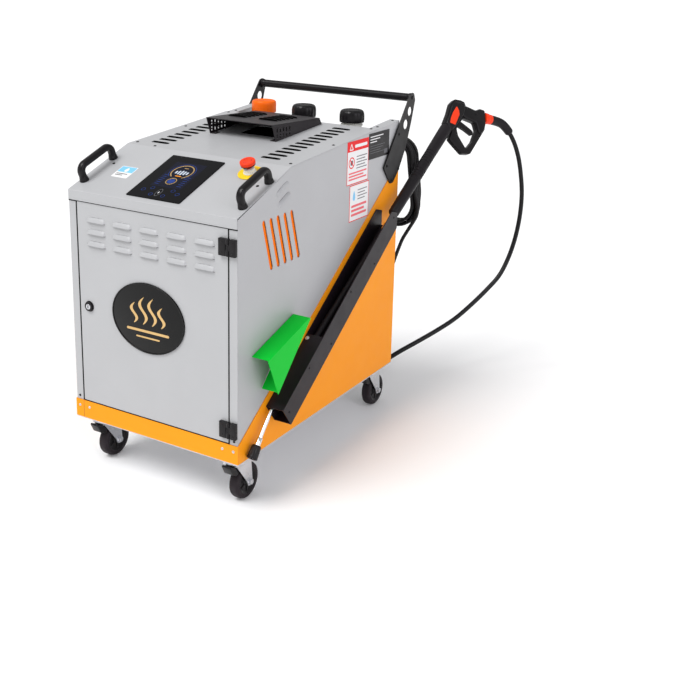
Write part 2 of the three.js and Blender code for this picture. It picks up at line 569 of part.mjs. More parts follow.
function buildLance() {
  const low = LANCE_LOW.toArray();
  const bendPoints = [lanceAt(-GRIP_LENGTH - GAP), lanceAt(-600), lanceAt(-900), low, [298, 98, 228], [298.5, 68, 193]];
  const pipe = tube(bendPoints, TUBE_R, 30, 12);
  addNode('lance_tube', pipe, STEEL);
  const tip = new THREE.Vector3(298.7, 38, 158);
  const root = new THREE.Vector3(298.5, 68, 193);
  const down = tip.clone().sub(root).normalize();
  const nozzleBase = root.clone().addScaledVector(down, 4);
  const nozzle = turned([[0, 0], [8, 0], [8, 10], [13, 12], [15, 46], [12, 46], [11, 34], [0, 34]], nozzleBase.toArray(), down.toArray(), 20);
  addNode('lance_nozzle', nozzle, BLACK_PLASTIC);
  const ribs = [150, 172, 194].flatMap((h) => [[19, h], [17, h + 2], [17, h + 10], [19, h + 12]]);
  const grip = turned([
    [0, 0], [14, 0], [17, 6], ...ribs, [20, 380], [20, GRIP_LENGTH - 21], [0, GRIP_LENGTH - 21],
  ], lanceAt(-GRIP_LENGTH), LANCE_DIR.toArray(), 20);
  addNode('lance_grip', grip, BLACK_PLASTIC);
}

const COLLAR = { x: 141.5, y: 100.5, dx: 0.61, dy: 0.79 }; // start and direction of the hose collar
const TRIGGER_PIVOT = [30, 24];

function buildGun() {
  const outline = rounded([
    [-20, -19, 0], [20, -27, 20], [62, -41, 20], [92, -37, 16], [112, -12, 10], [121, 4, 6], [108, 20, 6],
    [128, 55, 10], [148, 66, 12], [160, 84, 4], [121, 114, 4], [100, 122, 10], [-27, 121, 12], [-52, 96, 14],
    [-52, 28, 6], [-20, 21, 0],
  ], 3);
  const window = rounded([
    [4, 30, 4], [54, 30, 6], [64, 38, 4], [87, 76, 8], [72, 96, 8], [20, 105, 10], [-26, 99, 6], [-12, 48, 10],
  ], 3);
  const thickness = 15;
  const body = plate('Z', outline, -thickness, thickness, [window]);
  const guardTrim = [[-60, 26], [2, 26], [2, 200], [-60, 200]];
  const slim = [[-thickness - 1, -8], [8, thickness + 1]].map(([a, b]) => plate('Z', guardTrim, a, b));
  const [px, py] = TRIGGER_PIVOT;
  // The lever's hub turns in a slot in the head, open to the guard's window.
  const hubSlot = rounded([[px - 16, py + 14, 0], [px - 12, py - 10, 8], [px + 12, py - 10, 8], [px + 18, py + 14, 0]], 3);
  addNode('gun_body', cut(body, ...slim, plate('Z', hubSlot, -7.5, 7.5)), BLACK_PLASTIC, gun);

  const lever = rounded([
    [px - 9, py - 6, 6], [px + 8, py - 6, 6], [px + 14, py + 12, 8], [px + 20, py + 36, 10], [px + 25, py + 64, 5],
    [px + 9, py + 71, 5], [px + 1, py + 38, 12], [px - 9, py + 10, 8],
  ], 3);
  addNode('gun_trigger', plate('Z', lever, -7, 7), BLACK_PLASTIC, gun);

  const collar = turned([[0, 0], [19, 0], [19, 14], [17, 24], [17, 32], [0, 32]],
    [COLLAR.x, COLLAR.y, 0], [COLLAR.dx, COLLAR.dy, 0], 20);
  addNode('hose_collar', collar, RED_PLASTIC, gun);
}

// ---------------------------------------------------------------- pressure hose
const TAIL_BEND_R = 50; // the hose's bend down from its outlet
const HOSE_COIL = { x: -40, y: 1010, rMid: 84.5, layers: 4, rows: 3 };
const OUTLET = [-190, CABINET_DEPTH, 250];

function buildHose() {
  const toWorld = (x, y) => gun.localToWorld(new THREE.Vector3(x, y, 0)).toArray();
  gun.updateMatrixWorld(true);
  const alongCollar = (h) => toWorld(COLLAR.x + COLLAR.dx * h, COLLAR.y + COLLAR.dy * h);
  const bootPath = [alongCollar(33), alongCollar(42), alongCollar(51), [414, 1365, 885], [430, 1386, 861], [436.5, 1392.5, 848]];
  const curve = new THREE.CatmullRomCurve3(bootPath.map((p) => new THREE.Vector3(...p)), false, 'centripetal');
  const bands = 9;
  const rings = Array.from({ length: bands }, (_, i) => {
    const [u0, u1] = [i / bands, (i + 1) / bands];
    const [a, b] = [curve.getPointAt(u0), curve.getPointAt(u1)];
    const r = 16 - 5 * u0;
    const along = b.clone().sub(a);
    const reach = along.length() + (i < bands - 1 ? 1.5 : 0);
    return turned([[0, 0], [r, 0], [r - 0.5, reach], [0, reach]], a.toArray(), along.toArray(), 14);
  });
  addNode('hose_boot', join(...rings), RUBBER);

  const end = curve.getPointAt(1);
  const heading = end.clone().sub(curve.getPointAt(0.97)).normalize();
  const hoseStart = end.clone().addScaledVector(heading, 1);
  const { x, y, rMid } = HOSE_COIL;
  const route = [
    hoseStart.toArray(), end.clone().addScaledVector(heading, 9).toArray(), [452, 1405, 812], [466, 1414, 764], [477, 1421, 700], [484, 1424, 631], [485, 1415, 549],
    [481, 1390, 470], [471, 1360, 404], [457, 1325, 352], [432, 1280, 308], [402, 1222, 264], [368, 1158, 222],
    [330, 1095, 190], [292, 1032, 163], [250, 975, 134], [205, 941, 98], [160, 924, 58], [118, 915, 27],
    [78, 911.5, 11.5], [40, 911.2, 6.8],
  ];
  const last = [x + 46, y - 98.8, 6.6];
  addNode('hose_run', tube([...route, last], HOSE_R, 56, 10), RUBBER);

  const halfRows = (HOSE_COIL.rows * 2 * HOSE_R) / 2;
  const height = HOSE_COIL.layers * 2 * HOSE_R;
  const ring = [[rMid - halfRows, 0.2], [rMid + halfRows, 0.2], [rMid + halfRows, height], [rMid - halfRows, height], [rMid - halfRows, 0.2]];
  addNode('hose_coil', turned(ring, [x, y, 0], [0, 0, 1], 40), RUBBER);

  // The tail leaves the coil's last turn at its outer edge and climbs to the outlet.
  const [ox, oy, oz] = OUTLET;
  const bend = [95, 76, 57, 38, 19, 0].map((degrees) => {
    const angle = (degrees * Math.PI) / 180;
    return [ox, oy + 51 + TAIL_BEND_R * Math.sin(angle), oz - TAIL_BEND_R + TAIL_BEND_R * Math.cos(angle)];
  });
  const tail = [
    [x + 38, y - 95.5, height + 7], [x, y - 111, height + 13], [x - 42, y - 121, height + 27], [x - 84, y - 122, height + 48],
    [x - 117, y - 108, height + 76], [x - 140, y - 84, height + 102], [x - 149, y - 65, height + 128],
    ...bend, [ox, oy + 46.6, oz],
  ];
  addNode('hose_tail', tube(tail, HOSE_R, 22, 10), RUBBER);
  const fitting = turned([[0, GAP], [17, GAP], [17, 10], [12, 10], [12, 22], [9, 24], [9, 46], [0, 46]], OUTLET, [0, 1, 0], 12);
  addNode('outlet_fitting', fitting, BRASS);
}

// ---------------------------------------------------------------- mains cable
const GLAND = [212, CABINET_DEPTH, 405];

// Two circles joined by their outer tangents: the shape of a coil hung over a hook.
const hungLoop = (rLow, rHigh, steps = 12) => {
  const span = HANK.zHigh - HANK.zLow;
  const tilt = Math.asin((rLow - rHigh) / span);
  const arc = (z, r, from, to) => Array.from({ length: steps + 1 }, (_, i) => {
    const t = from + ((to - from) * i) / steps;
    return [HANK.x + r * Math.cos(t), z + r * Math.sin(t)];
  });
  return [
    ...arc(HANK.zHigh, rHigh, tilt, Math.PI - tilt),
    ...arc(HANK.zLow, rLow, Math.PI - tilt, 2 * Math.PI + tilt),
  ];
};

function buildCable() {
  const { y, rLow, rHigh, half, depth } = HANK;
  const hank = plate('Y', hungLoop(rLow + half, rHigh + half), y - depth, y + depth, [hungLoop(rLow - half, rHigh - half)]);
  addNode('cable_hank', hank, RUBBER);

  const [gx, gy, gz] = GLAND;
  const gland = turned([[0, GAP], [15, GAP], [15, 9], [12, 11], [12, 20], [8, 34], [7, 46], [0, 46]], GLAND, [0, 1, 0], 16);
  addNode('cable_gland', gland, BLACK_PLASTIC);
  // The lead joins the nearest row of the hank along its outer turn.
  const row = y - depth + CABLE_R;
  const lead = [
    [gx, gy + 46.6, gz], [gx, gy + 54, gz], [gx, gy + 65, gz + 1.5], [gx + 2, gy + 80, gz + 8], [gx + 7, gy + 91, gz + 23],
    [gx + 14, row, gz + 45], [gx + 23, row, gz + 73], [gx + 34, row, gz + 105], [gx + 45, row, gz + 134],
    [gx + 57, row, gz + 156.1], [gx + 67.5, row, gz + 174.3], [gx + 78, row, gz + 192.4], [gx + 87.5, row, gz + 208.9],
  ];
  addNode('cable_lead', tube(lead, CABLE_R, 16, 10), RUBBER);

  const plugX = HANK.x - rLow - CABLE_R;
  const plug = turned([
    [0, 0], [9, 0], [10, 22], [22, 26], [24, 34], [24, 70], [28, 72], [28, 78], [24, 80], [22, 108], [0, 108],
  ], [plugX, y + depth - CABLE_R, HANK.zLow - 50], [0, 0, -1], 20);
  addNode('cable_plug', plug, BLACK_PLASTIC);
}

// ---------------------------------------------------------------- machinery inside
function buildMachinery() {
  const boiler = turned([
    [0, 0], [90, 0], [105, 14], [105, 400], [92, 432], [50, 446], [50, 462], [30, 462], [30, 480], [0, 480],
  ], [-120, 480, BASE_Z + TRAY_T + GAP], [0, 0, 1], 28);
  addNode('boiler', boiler, STEEL);
  const floorZ = BASE_Z + TRAY_T + GAP;
  const bed = block(60, 240, 300, 620, floorZ, floorZ + 12);
  const motor = rod([150, 310, floorZ + 85], [150, 500, floorZ + 85], 74, 24);
  const pump = block(95, 205, 495, 610, floorZ + 10, floorZ + 150);
  const saddle = block(110, 190, 330, 480, floorZ + 10, floorZ + 40);
  addNode('pump_set', join(bed, motor, pump, saddle), ZINC);
}

buildBase();
buildSidePanel('side_panel_right', 1);
buildSidePanel('side_panel_left', -1);
buildSidePlate('side_plate_right', 1);
buildSidePlate('side_plate_left', -1);
buildRearPanel();
buildDeck();
buildControlPanel();
buildFrontFrame();
buildDoor();
buildControls();
buildGrabHandle('grab_handle_left', -262);
buildGrabHandle('grab_handle_right', 264);
buildPushHandle();
buildHood();
buildTanks();
for (const [end, y] of Object.entries(CASTOR_YS)) {
  buildCastor(`${end}_left`, -CASTOR_X, y);
  buildCastor(`${end}_right`, CASTOR_X, y);
}
buildLanceHolder();
buildHosePocket();
buildLance();
buildGun();
buildHose();
buildCable();
buildMachinery();

// The origin is the middle of the footprint on the floor, measured without the free cords and what is on them.
const CORD_NODES = ['hose_boot', 'hose_run', 'hose_coil', 'hose_tail', 'cable_lead', 'cable_hank', 'cable_plug'];
model.updateMatrixWorld(true);
const bounds = new THREE.Box3();
model.traverse((node) => {
  if (node.isMesh && !CORD_NODES.includes(node.name)) bounds.expandByObject(node, true);
});
const middle = bounds.getCenter(new THREE.Vector3());
const root = new THREE.Group();
model.position.set(-middle.x, -middle.y, -bounds.min.z);
root.add(model);

export default root;
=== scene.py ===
"""Looks of the steam cleaner: camera, cords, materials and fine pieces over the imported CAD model."""
import math

import bmesh
import bpy
from mathutils import Matrix, Vector
from mathutils.geometry import interpolate_bezier


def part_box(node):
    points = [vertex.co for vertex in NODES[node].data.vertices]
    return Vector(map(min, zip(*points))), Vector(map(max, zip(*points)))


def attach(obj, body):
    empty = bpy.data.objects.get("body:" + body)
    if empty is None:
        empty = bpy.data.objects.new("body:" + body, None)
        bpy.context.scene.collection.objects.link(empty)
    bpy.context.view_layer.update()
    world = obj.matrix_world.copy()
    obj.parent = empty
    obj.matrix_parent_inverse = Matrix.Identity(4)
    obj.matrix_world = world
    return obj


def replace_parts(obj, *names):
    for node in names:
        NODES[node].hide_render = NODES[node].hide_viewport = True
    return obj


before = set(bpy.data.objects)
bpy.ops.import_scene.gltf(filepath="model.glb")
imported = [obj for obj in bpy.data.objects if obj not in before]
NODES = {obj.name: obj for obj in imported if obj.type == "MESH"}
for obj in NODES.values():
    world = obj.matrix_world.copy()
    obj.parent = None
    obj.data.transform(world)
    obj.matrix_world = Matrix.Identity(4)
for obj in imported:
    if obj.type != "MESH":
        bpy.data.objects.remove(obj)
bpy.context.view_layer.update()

tray_lo, tray_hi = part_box("base_tray")

# ---------------------------------------------------------------- frames
# Each frame takes millimetres: X to the lance side, Y to the back and Z up from the cabinet's front foot.
CABINET = Matrix.Translation(((tray_lo.x + tray_hi.x) / 2, tray_lo.y, 0)) @ Matrix.Scale(0.001, 4)


def basis(x, y, z, origin=(0, 0, 0)):
    """A frame with those axes and that origin."""
    m = Matrix((x, y, z)).transposed().to_4x4()
    m.translation = Vector(origin)
    return m


# Heights and depths of the cabinet's side profile: the sloped control panel, then the less sloped deck.
CABINET_DEPTH = 850
PANEL_LOW, DECK_FRONT, DECK_LOW, DECK_HIGH = 807, 239, 898, 949
CONTROL_SLOPE = math.atan2(DECK_LOW - PANEL_LOW, DECK_FRONT)
DECK_SLOPE = math.atan2(DECK_HIGH - DECK_LOW, CABINET_DEPTH - DECK_FRONT)
HOLDER_SLOPE = math.atan2(817 - 199, CABINET_DEPTH)
PANEL = CABINET @ Matrix.Translation((0, 0, PANEL_LOW)) @ Matrix.Rotation(CONTROL_SLOPE, 4, "X")
DECK = CABINET @ Matrix.Translation((0, DECK_FRONT, DECK_LOW)) @ Matrix.Rotation(DECK_SLOPE, 4, "X")
HOLDER = CABINET @ Matrix.Translation((0, 124, 266)) @ Matrix.Rotation(HOLDER_SLOPE, 4, "X")
FRONT = CABINET @ basis((1, 0, 0), (0, 0, 1), (0, -1, 0))
RIGHT = CABINET @ basis((0, 1, 0), (0, 0, 1), (1, 0, 0))
LEFT = CABINET @ basis((0, -1, 0), (0, 0, 1), (-1, 0, 0))
REAR = CABINET @ basis((-1, 0, 0), (0, 0, 1), (0, 1, 0))

LANCE_LOW = Vector((297, 130, 257))
LANCE_HIGH = Vector((320, 1130, 905))
lance_dir = (LANCE_HIGH - LANCE_LOW).normalized()
grip_hint = Vector((64, 138, -33))
gun_y = (grip_hint - lance_dir * grip_hint.dot(lance_dir)).normalized()
GUN = CABINET @ basis(lance_dir, gun_y, lance_dir.cross(gun_y), LANCE_HIGH)

# Where the two cords start and end: at the gun's rubber boot, at the outlet and the gland on the rear, and at
# the end of both of those fittings behind it.
BOOT_END = Vector((436.5, 1392.5, 848))
OUTLET_X, OUTLET_Z = -190, 250
GLAND_X, GLAND_Z = 212, 405
FITTING_END = 896.6


# ---------------------------------------------------------------- camera
def make_camera():
    azimuth, elevation, roll = math.radians(29.5), math.radians(14.7), math.radians(1.61)
    back = Vector((
        math.sin(azimuth) * math.cos(elevation),
        -math.cos(azimuth) * math.cos(elevation),
        math.sin(elevation),
    ))
    right = Vector((0, 0, 1)).cross(back).normalized()
    up = back.cross(right)
    turned_right = right * math.cos(roll) + up * math.sin(roll)
    turned_up = up * math.cos(roll) - right * math.sin(roll)
    data = bpy.data.cameras.new("camera")
    data.sensor_width = 36
    data.lens = 52.93
    data.shift_y = -0.1754
    data.clip_start, data.clip_end = 0.05, 400
    camera = bpy.data.objects.new("camera", data)
    bpy.context.scene.collection.objects.link(camera)
    camera.matrix_world = basis(turned_right, turned_up, back, CABINET @ Vector((1711.6, -1975.0, 1429.6)))
    bpy.context.scene.camera = camera


make_camera()


def surface(name, slot, color, roughness, metallic=0.0, mottle=0.05, mottle_scale=6.0, grain=0.02,
            grain_scale=900.0, edge=0.8, wear=0.25, stretch=(1, 1, 1), streaks=0.0, specular=0.4):
    """A painted, moulded or metal finish. grain is the bump's height, edge the edges' rounding, in mm."""
    material = bpy.data.materials.new(name)
    material.use_nodes = True
    nodes, links = material.node_tree.nodes, material.node_tree.links
    shader = nodes["Principled BSDF"]
    shader.inputs["Metallic"].default_value = metallic
    shader.inputs["Specular IOR Level"].default_value = specular

    def add(kind, inputs=None, **values):
        node = nodes.new(kind)
        for key, value in values.items():
            setattr(node, key, value)
        for key, value in (inputs or {}).items():
            if isinstance(value, bpy.types.NodeSocket):
                links.new(value, node.inputs[key])
            else:
                node.inputs[key].default_value = value
        return node

    place = add("ShaderNodeTexCoord")
    mapping = add("ShaderNodeMapping", {"Vector": place.outputs["Object"], "Scale": stretch})

    def noise(scale, detail=3.0, rough=0.55):
        inputs = {"Vector": mapping.outputs["Vector"], "Scale": scale, "Detail": detail, "Roughness": rough}
        return add("ShaderNodeTexNoise", inputs).outputs["Fac"]

    def ranged(source, low, high, from_low=0.3, from_high=0.7):
        inputs = {"Value": source, "From Min": from_low, "From Max": from_high, "To Min": low, "To Max": high}
        return add("ShaderNodeMapRange", inputs).outputs["Result"]

    def mixed(amount, a, b):
        return add("ShaderNodeMix", {"Factor": amount, "A": a, "B": b}, data_type="RGBA").outputs["Result"]

    def shade(gain, lift=0.0):
        return (*(min(1.0, c * gain + lift) for c in color), 1)

    cloud = noise(mottle_scale, 4.0)
    base = mixed(ranged(cloud, 0.0, 1.0), shade(1 - mottle), shade(1 + mottle))
    rough = ranged(noise(mottle_scale * 5, 5.0), max(0.02, roughness - 0.05), min(1.0, roughness + 0.06))
    bevel = add("ShaderNodeBevel", {"Radius": edge / 1000}, samples=4)
    if wear:
        # Hard edges, where the rounded normal leaves the face's own, are paler in patches.
        normals = {0: bevel.outputs["Normal"], 1: add("ShaderNodeNewGeometry").outputs["Normal"]}
        facing = add("ShaderNodeVectorMath", normals, operation="DOT_PRODUCT")
        edges = ranged(facing.outputs["Value"], wear, 0.0, 0.9, 0.995)
        patchy = ranged(noise(60.0, 6.0), 0.0, 1.0, 0.4, 0.6)
        amount = add("ShaderNodeMath", {0: edges, 1: patchy}, operation="MULTIPLY")
        base = mixed(amount.outputs["Value"], base, shade(0.6, 0.4))
    if streaks:
        base = mixed(ranged(noise(26.0, 8.0, 0.7), 0.0, streaks, 0.52, 0.8), base, shade(0.55, 0.06))
    bump = add("ShaderNodeBump", {"Strength": 0.6, "Distance": grain / 1000,
                                  "Height": noise(grain_scale, 2.0), "Normal": bevel.outputs["Normal"]})
    for key, socket in (("Base Color", base), ("Roughness", rough), ("Normal", bump.outputs["Normal"])):
        links.new(socket, shader.inputs[key])
    return material


COAT = {"grain": 0.03, "grain_scale": 1400}
MOULDED = {"mottle": 0.04, "specular": 0.2}
CORD = {"specular": 0.25, "mottle": 0.1, "mottle_scale": 20, "grain": 0.03, "wear": 0.0, "edge": 0.2}
PRINTED = {"grain": 0.004, "wear": 0.0, "edge": 0.1}
ON_GLASS = {"grain": 0.001, "wear": 0.0, "edge": 0.1}
GREY = surface("grey_powder_coat", "grey_paint", (0.46, 0.465, 0.475), 0.38, mottle=0.02, wear=0.3, **COAT)
ORANGE = surface("orange_powder_coat", "orange_paint", (1.0, 0.335, 0.008), 0.42, mottle=0.03, wear=0.1,
                 specular=0.15, **COAT)
BLACK = surface("black_powder_coat", "black_paint", (0.006, 0.005, 0.006), 0.32, mottle=0.1, grain=0.03,
                grain_scale=1300, wear=0.08, specular=0.22)
CHANNEL = surface("channel_powder_coat", "black_paint", (0.012, 0.008, 0.011), 0.36, mottle=0.08, grain=0.03,
                  wear=0.08, specular=0.25)
GREEN = surface("green_powder_coat", "green_paint", (0.0, 0.58, 0.035), 0.40, mottle=0.03, wear=0.06,
                specular=0.12, **COAT)
ZINC = surface("zinc_plate", "zinc", (0.66, 0.67, 0.70), 0.30, 1.0, 0.08, 25, grain=0.01, wear=0.0)
STEEL = surface("polished_steel", "steel", (0.78, 0.79, 0.80), 0.16, 1.0, 0.04, grain=0.004,
                stretch=(1, 1, 8), wear=0.0)
BRASS = surface("brass", "brass", (0.80, 0.52, 0.20), 0.28, 1.0, 0.08, 30, grain=0.006, wear=0.0)
GOLD = surface("gold_print", "brass", (0.75, 0.50, 0.22), 0.34, 0.85, 0.06, grain=0.004, wear=0.0, edge=0.3)
PLASTIC = surface("black_plastic", "black_plastic", (0.006, 0.005, 0.006), 0.30, mottle=0.12, grain=0.05,
                  grain_scale=1800, wear=0.05, specular=0.25)
TYRE = surface("tyre_rubber", "rubber", (0.018, 0.013, 0.016), 0.55, mottle=0.15, mottle_scale=20, grain=0.05,
               wear=0.1, streaks=0.3, specular=0.2)
HOSE = surface("hose_rubber", "rubber", (0.006, 0.006, 0.007), 0.32, **CORD)
CABLE = surface("cable_sheath", "rubber", (0.008, 0.007, 0.008), 0.42, **CORD)
RED = surface("red_plastic", "red_plastic", (0.92, 0.050, 0.010), 0.36, wear=0.04, **MOULDED)
YELLOW = surface("yellow_plastic", "yellow_plastic", (0.95, 0.62, 0.01), 0.34, wear=0.03, **MOULDED)
CLEAR = surface("pale_plastic", "white_plastic", (0.80, 0.82, 0.80), 0.25, mottle=0.03, grain=0.01, wear=0.0)
CAP_ORANGE = surface("orange_plastic", "orange_plastic", (1.0, 0.15, 0.003), 0.34, grain=0.04, wear=0.03,
                     **MOULDED)
TANK = surface("tank_plastic", "white_plastic", (0.78, 0.78, 0.72), 0.45, mottle=0.04, grain=0.05, wear=0.0)
LABEL = surface("label_white", "white_plastic", (0.86, 0.86, 0.86), 0.35, mottle=0.01, **PRINTED)
LABEL_RED, LABEL_GREY, LABEL_BLUE, LABEL_PINK = (
    surface("label_" + tone, slot, color, roughness, mottle=0.02, specular=specular, **PRINTED)
    for tone, slot, color, roughness, specular in (
        ("red", "red_plastic", (0.82, 0.018, 0.022), 0.35, 0.15),
        ("grey", "black_plastic", (0.12, 0.12, 0.13), 0.4, 0.2),
        ("blue", "white_plastic", (0.22, 0.58, 0.88), 0.35, 0.2),
        ("pink", "red_plastic", (0.85, 0.16, 0.18), 0.4, 0.2),
    )
)
FLOOR = surface("pale_floor", None, (0.93, 0.93, 0.93), 0.6, mottle=0.004, grain=0.01, grain_scale=200,
                wear=0.0, edge=0.1)
BLACK_GLOSS = surface("black_enamel", "black_paint", (0.003, 0.003, 0.003), 0.16, mottle=0.1, grain=0.004,
                      wear=0.0, specular=0.25)
GRIP = surface("grip_rubber", "black_plastic", (0.009, 0.007, 0.009), 0.46, mottle=0.15, mottle_scale=14,
               grain=0.08, grain_scale=1500, wear=0.06, specular=0.22)
RED_DEEP = surface("red_plastic_marks", "red_plastic", (0.55, 0.02, 0.01), 0.35, mottle=0.04, grain=0.01,
                   wear=0.0)
SCREEN = surface("screen_glass", "screen", (0.002, 0.002, 0.003), 0.14, mottle=0.1, grain=0.0005, wear=0.0,
                 edge=0.6, specular=0.10)
SCREEN_DIM = surface("screen_print_dim", "screen", (0.004, 0.005, 0.016), 0.25, specular=0.1, **ON_GLASS)
SCREEN_BLUE = surface("screen_print_blue", "screen", (0.02, 0.05, 0.24), 0.25, specular=0.1, **ON_GLASS)
# The black paint a little lighter than elsewhere as painted sheen on the roof, with the finish's own stronger
# specular.
HOOD_WITH_SHEEN = surface("hood_powder_coat_painted_sheen", "black_paint", (0.014, 0.010, 0.013), 0.40, mottle=0.1, grain=0.04,
               grain_scale=1300, wear=0.1, specular=0.42)
# A darker, redder copy of the orange paint: painted shade for the sheet seen in shadow through the side slots.
ORANGE_PAINTED_SHADE = surface("baffle_orange_painted_shade", "orange_paint", (1.0, 0.19, 0.0), 0.42, mottle=0.03, wear=0.0,
                 specular=0.1, **COAT)
# Near-black used only as painted shade: in the gaps, under the slots and in the louvres' mouths.
PAINTED_SHADE = surface("painted_shade_black", "black_paint", (0.003, 0.003, 0.003), 0.9, grain=0.01, wear=0.0, specular=0.05)
SCREEN_LIT = surface("screen_print_light", "screen", (0.55, 0.62, 0.72), 0.25, mottle=0.03, **ON_GLASS)

FINISHES = {
    GREY: ["side_panel_right", "side_panel_left", "rear_panel", "deck_panel", "control_panel", "front_frame",
           "door_panel"],
    ORANGE: ["front_skirt", "side_plate_right", "side_plate_left"],
    BLACK: ["door_hinge_upper", "door_hinge_lower", "handle_plate_left", "handle_plate_right", "handle_bar"],
    HOOD_WITH_SHEEN: ["vent_hood"],
    CHANNEL: ["lance_holder"],
    GREEN: ["hose_pocket"],
    ZINC: ["base_tray", "pump_set"],
    STEEL: ["lance_tube", "boiler"],
    BRASS: ["outlet_fitting"],
    PLASTIC: ["grab_handle_left", "grab_handle_right", "lance_nozzle", "lance_grip", "gun_body",
              "gun_trigger", "cable_gland", "cable_plug", "filler_cap_middle", "filler_cap_right",
              "door_lock"],
    CAP_ORANGE: ["filler_cap_left"],
    RED: ["e_stop_button", "hose_collar"],
    YELLOW: ["e_stop_base"],
    HOSE: ["hose_boot", "hose_run", "hose_coil", "hose_tail"],
    CABLE: ["cable_lead", "cable_hank"],
    TANK: ["tank_left", "tank_middle", "tank_right"],
    SCREEN: ["display"],
}
CASTORS = {
    "front_left": (-232, 55), "front_right": (232, 55), "rear_left": (-232, 782), "rear_right": (232, 782),
}
for castor in CASTORS:
    FINISHES[ZINC].append("castor_fork_" + castor)
    FINISHES[PLASTIC].append("castor_pedal_" + castor)
    FINISHES.setdefault(TYRE, []).append("castor_wheel_" + castor)

for finish, names in FINISHES.items():
    for node_name in names:
        NODES[node_name].data.materials.clear()
        NODES[node_name].data.materials.append(finish)


# ---------------------------------------------------------------- building pieces
def finished(obj, material, body):
    obj.data.materials.append(material)
    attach(obj, body)
    return obj


def new_object(name, data):
    obj = bpy.data.objects.new(name, data)
    bpy.context.scene.collection.objects.link(obj)
    return obj


def from_bmesh(name, bm, material, body="machine", angle=35):
    bmesh.ops.remove_doubles(bm, verts=bm.verts, dist=1e-7)
    bmesh.ops.recalc_face_normals(bm, faces=bm.faces)
    mesh = bpy.data.meshes.new(name)
    bm.to_mesh(mesh)
    bm.free()
    mesh.polygons.foreach_set("use_smooth", [True] * len(mesh.polygons))
    mesh.set_sharp_from_angle(angle=math.radians(angle))
    return finished(new_object(name, mesh), material, body)


# A profile's point closer than this to its axis is one vertex.
ON_AXIS = 1e-6


def circle(count):
    """The angles of count places evenly round a circle."""
    return [2 * math.pi * i / count for i in range(count)]


def polar(radius, angle, x=0, y=0):
    return Vector((x + radius * math.cos(angle), y + radius * math.sin(angle)))


def turned_into(bm, matrix, profile, segments=48, ribs=0, depth=0.0, ribbed=()):
    """Adds a solid turned round local Z, whose profile is (radius, height) from one end to the other.

    The rings whose place in the profile is in ribbed get vertical grooves of that depth between their ribs.
    """
    rings = []
    for index, (radius, height) in enumerate(profile):
        if radius < ON_AXIS:
            rings.append([bm.verts.new(matrix @ Vector((0, 0, height)))])
            continue
        ring = []
        for t in circle(segments):
            r = radius - (depth * max(0.0, math.cos(ribs * t)) ** 2 if index in ribbed else 0.0)
            ring.append(bm.verts.new(matrix @ Vector((*polar(r, t), height))))
        rings.append(ring)
    for a, b in zip(rings, rings[1:]):
        for i in range(segments):
            j = (i + 1) % segments
            corners = list(dict.fromkeys([a[i % len(a)], a[j % len(a)], b[j % len(b)], b[i % len(b)]]))
            if len(corners) > 2:
                bm.faces.new(corners)


def turned(name, matrix, profile, material, body="machine", segments=48, angle=35, **ribbing):
    bm = bmesh.new()
    turned_into(bm, matrix, profile, segments, **ribbing)
    return from_bmesh(name, bm, material, body, angle)


def pointing(direction, origin):
    """Turns local Z along a direction."""
    quaternion = Vector((0, 0, 1)).rotation_difference(Vector(direction).normalized())
    return Matrix.Translation(origin) @ quaternion.to_matrix().to_4x4()


def rounded(corners, steps=5):
    """An outline whose corners (a, b, radius) become arcs."""
    outline = []
    count = len(corners)
    for i, corner in enumerate(corners):
        a, b, r = (*corner, 0)[:3]
        here = Vector((a, b))
        if r == 0:
            outline.append(here)
            continue
        before = (Vector(corners[i - 1][:2]) - here).normalized()
        after = (Vector(corners[(i + 1) % count][:2]) - here).normalized()
        half = before.angle(after) / 2
        centre = here + (before + after).normalized() * (r / math.sin(half))
        start = here + before * (r / math.tan(half)) - centre
        end = here + after * (r / math.tan(half)) - centre
        a0 = math.atan2(start.y, start.x)
        sweep = math.atan2(end.y, end.x) - a0
        sweep = (sweep + math.pi) % (2 * math.pi) - math.pi
        for k in range(steps + 1):
            t = a0 + sweep * k / steps
            outline.append(centre + Vector((r * math.cos(t), r * math.sin(t))))
    return outline


def oval(cx, cy, rx, ry, count):
    return [Vector((cx + rx * math.cos(a), cy + ry * math.sin(a))) for a in circle(count)]


def box_outline(x0, x1, y0, y1, r=0.0):
    corners = [(x0, y0, r), (x1, y0, r), (x1, y1, r), (x0, y1, r)]
    return rounded(corners) if r else [Vector(c[:2]) for c in corners]


def prism(name, matrix, outlines, low, high, material, body="machine", bevel=0.0, segments=3):
    """An extruded plate: the first outline with the others as holes, from low to high along local Z."""
    curve = bpy.data.curves.new(name, "CURVE")
    curve.dimensions = "2D"
    curve.fill_mode = "BOTH"
    curve.extrude = (high - low) / 2
    for outline in outlines:
        spline = curve.splines.new("POLY")
        spline.points.add(len(outline) - 1)
        for point, place in zip(spline.points, outline):
            point.co = (place[0], place[1], 0, 1)
        spline.use_cyclic_u = True
    scratch = new_object(name + "_outline", curve)
    bpy.context.view_layer.update()
    mesh = bpy.data.meshes.new_from_object(scratch)
    bpy.data.objects.remove(scratch)
    bpy.data.curves.remove(curve)
    mesh.transform(Matrix.Translation((0, 0, (low + high) / 2)))
    bm = bmesh.new()
    bm.from_mesh(mesh)
    bpy.data.meshes.remove(mesh)
    bmesh.ops.remove_doubles(bm, verts=bm.verts, dist=1e-4)
    bmesh.ops.dissolve_limit(bm, angle_limit=0.01, verts=bm.verts, edges=bm.edges)
    if bevel:
        edges = [e for e in bm.edges if len(e.link_faces) == 2 and e.calc_face_angle(0) > math.radians(60)]
        bmesh.ops.bevel(bm, geom=edges, offset=bevel, segments=segments, profile=0.5, affect="EDGES",
                        clamp_overlap=True)
    bm.transform(matrix)
    return from_bmesh(name, bm, material, body, angle=40)


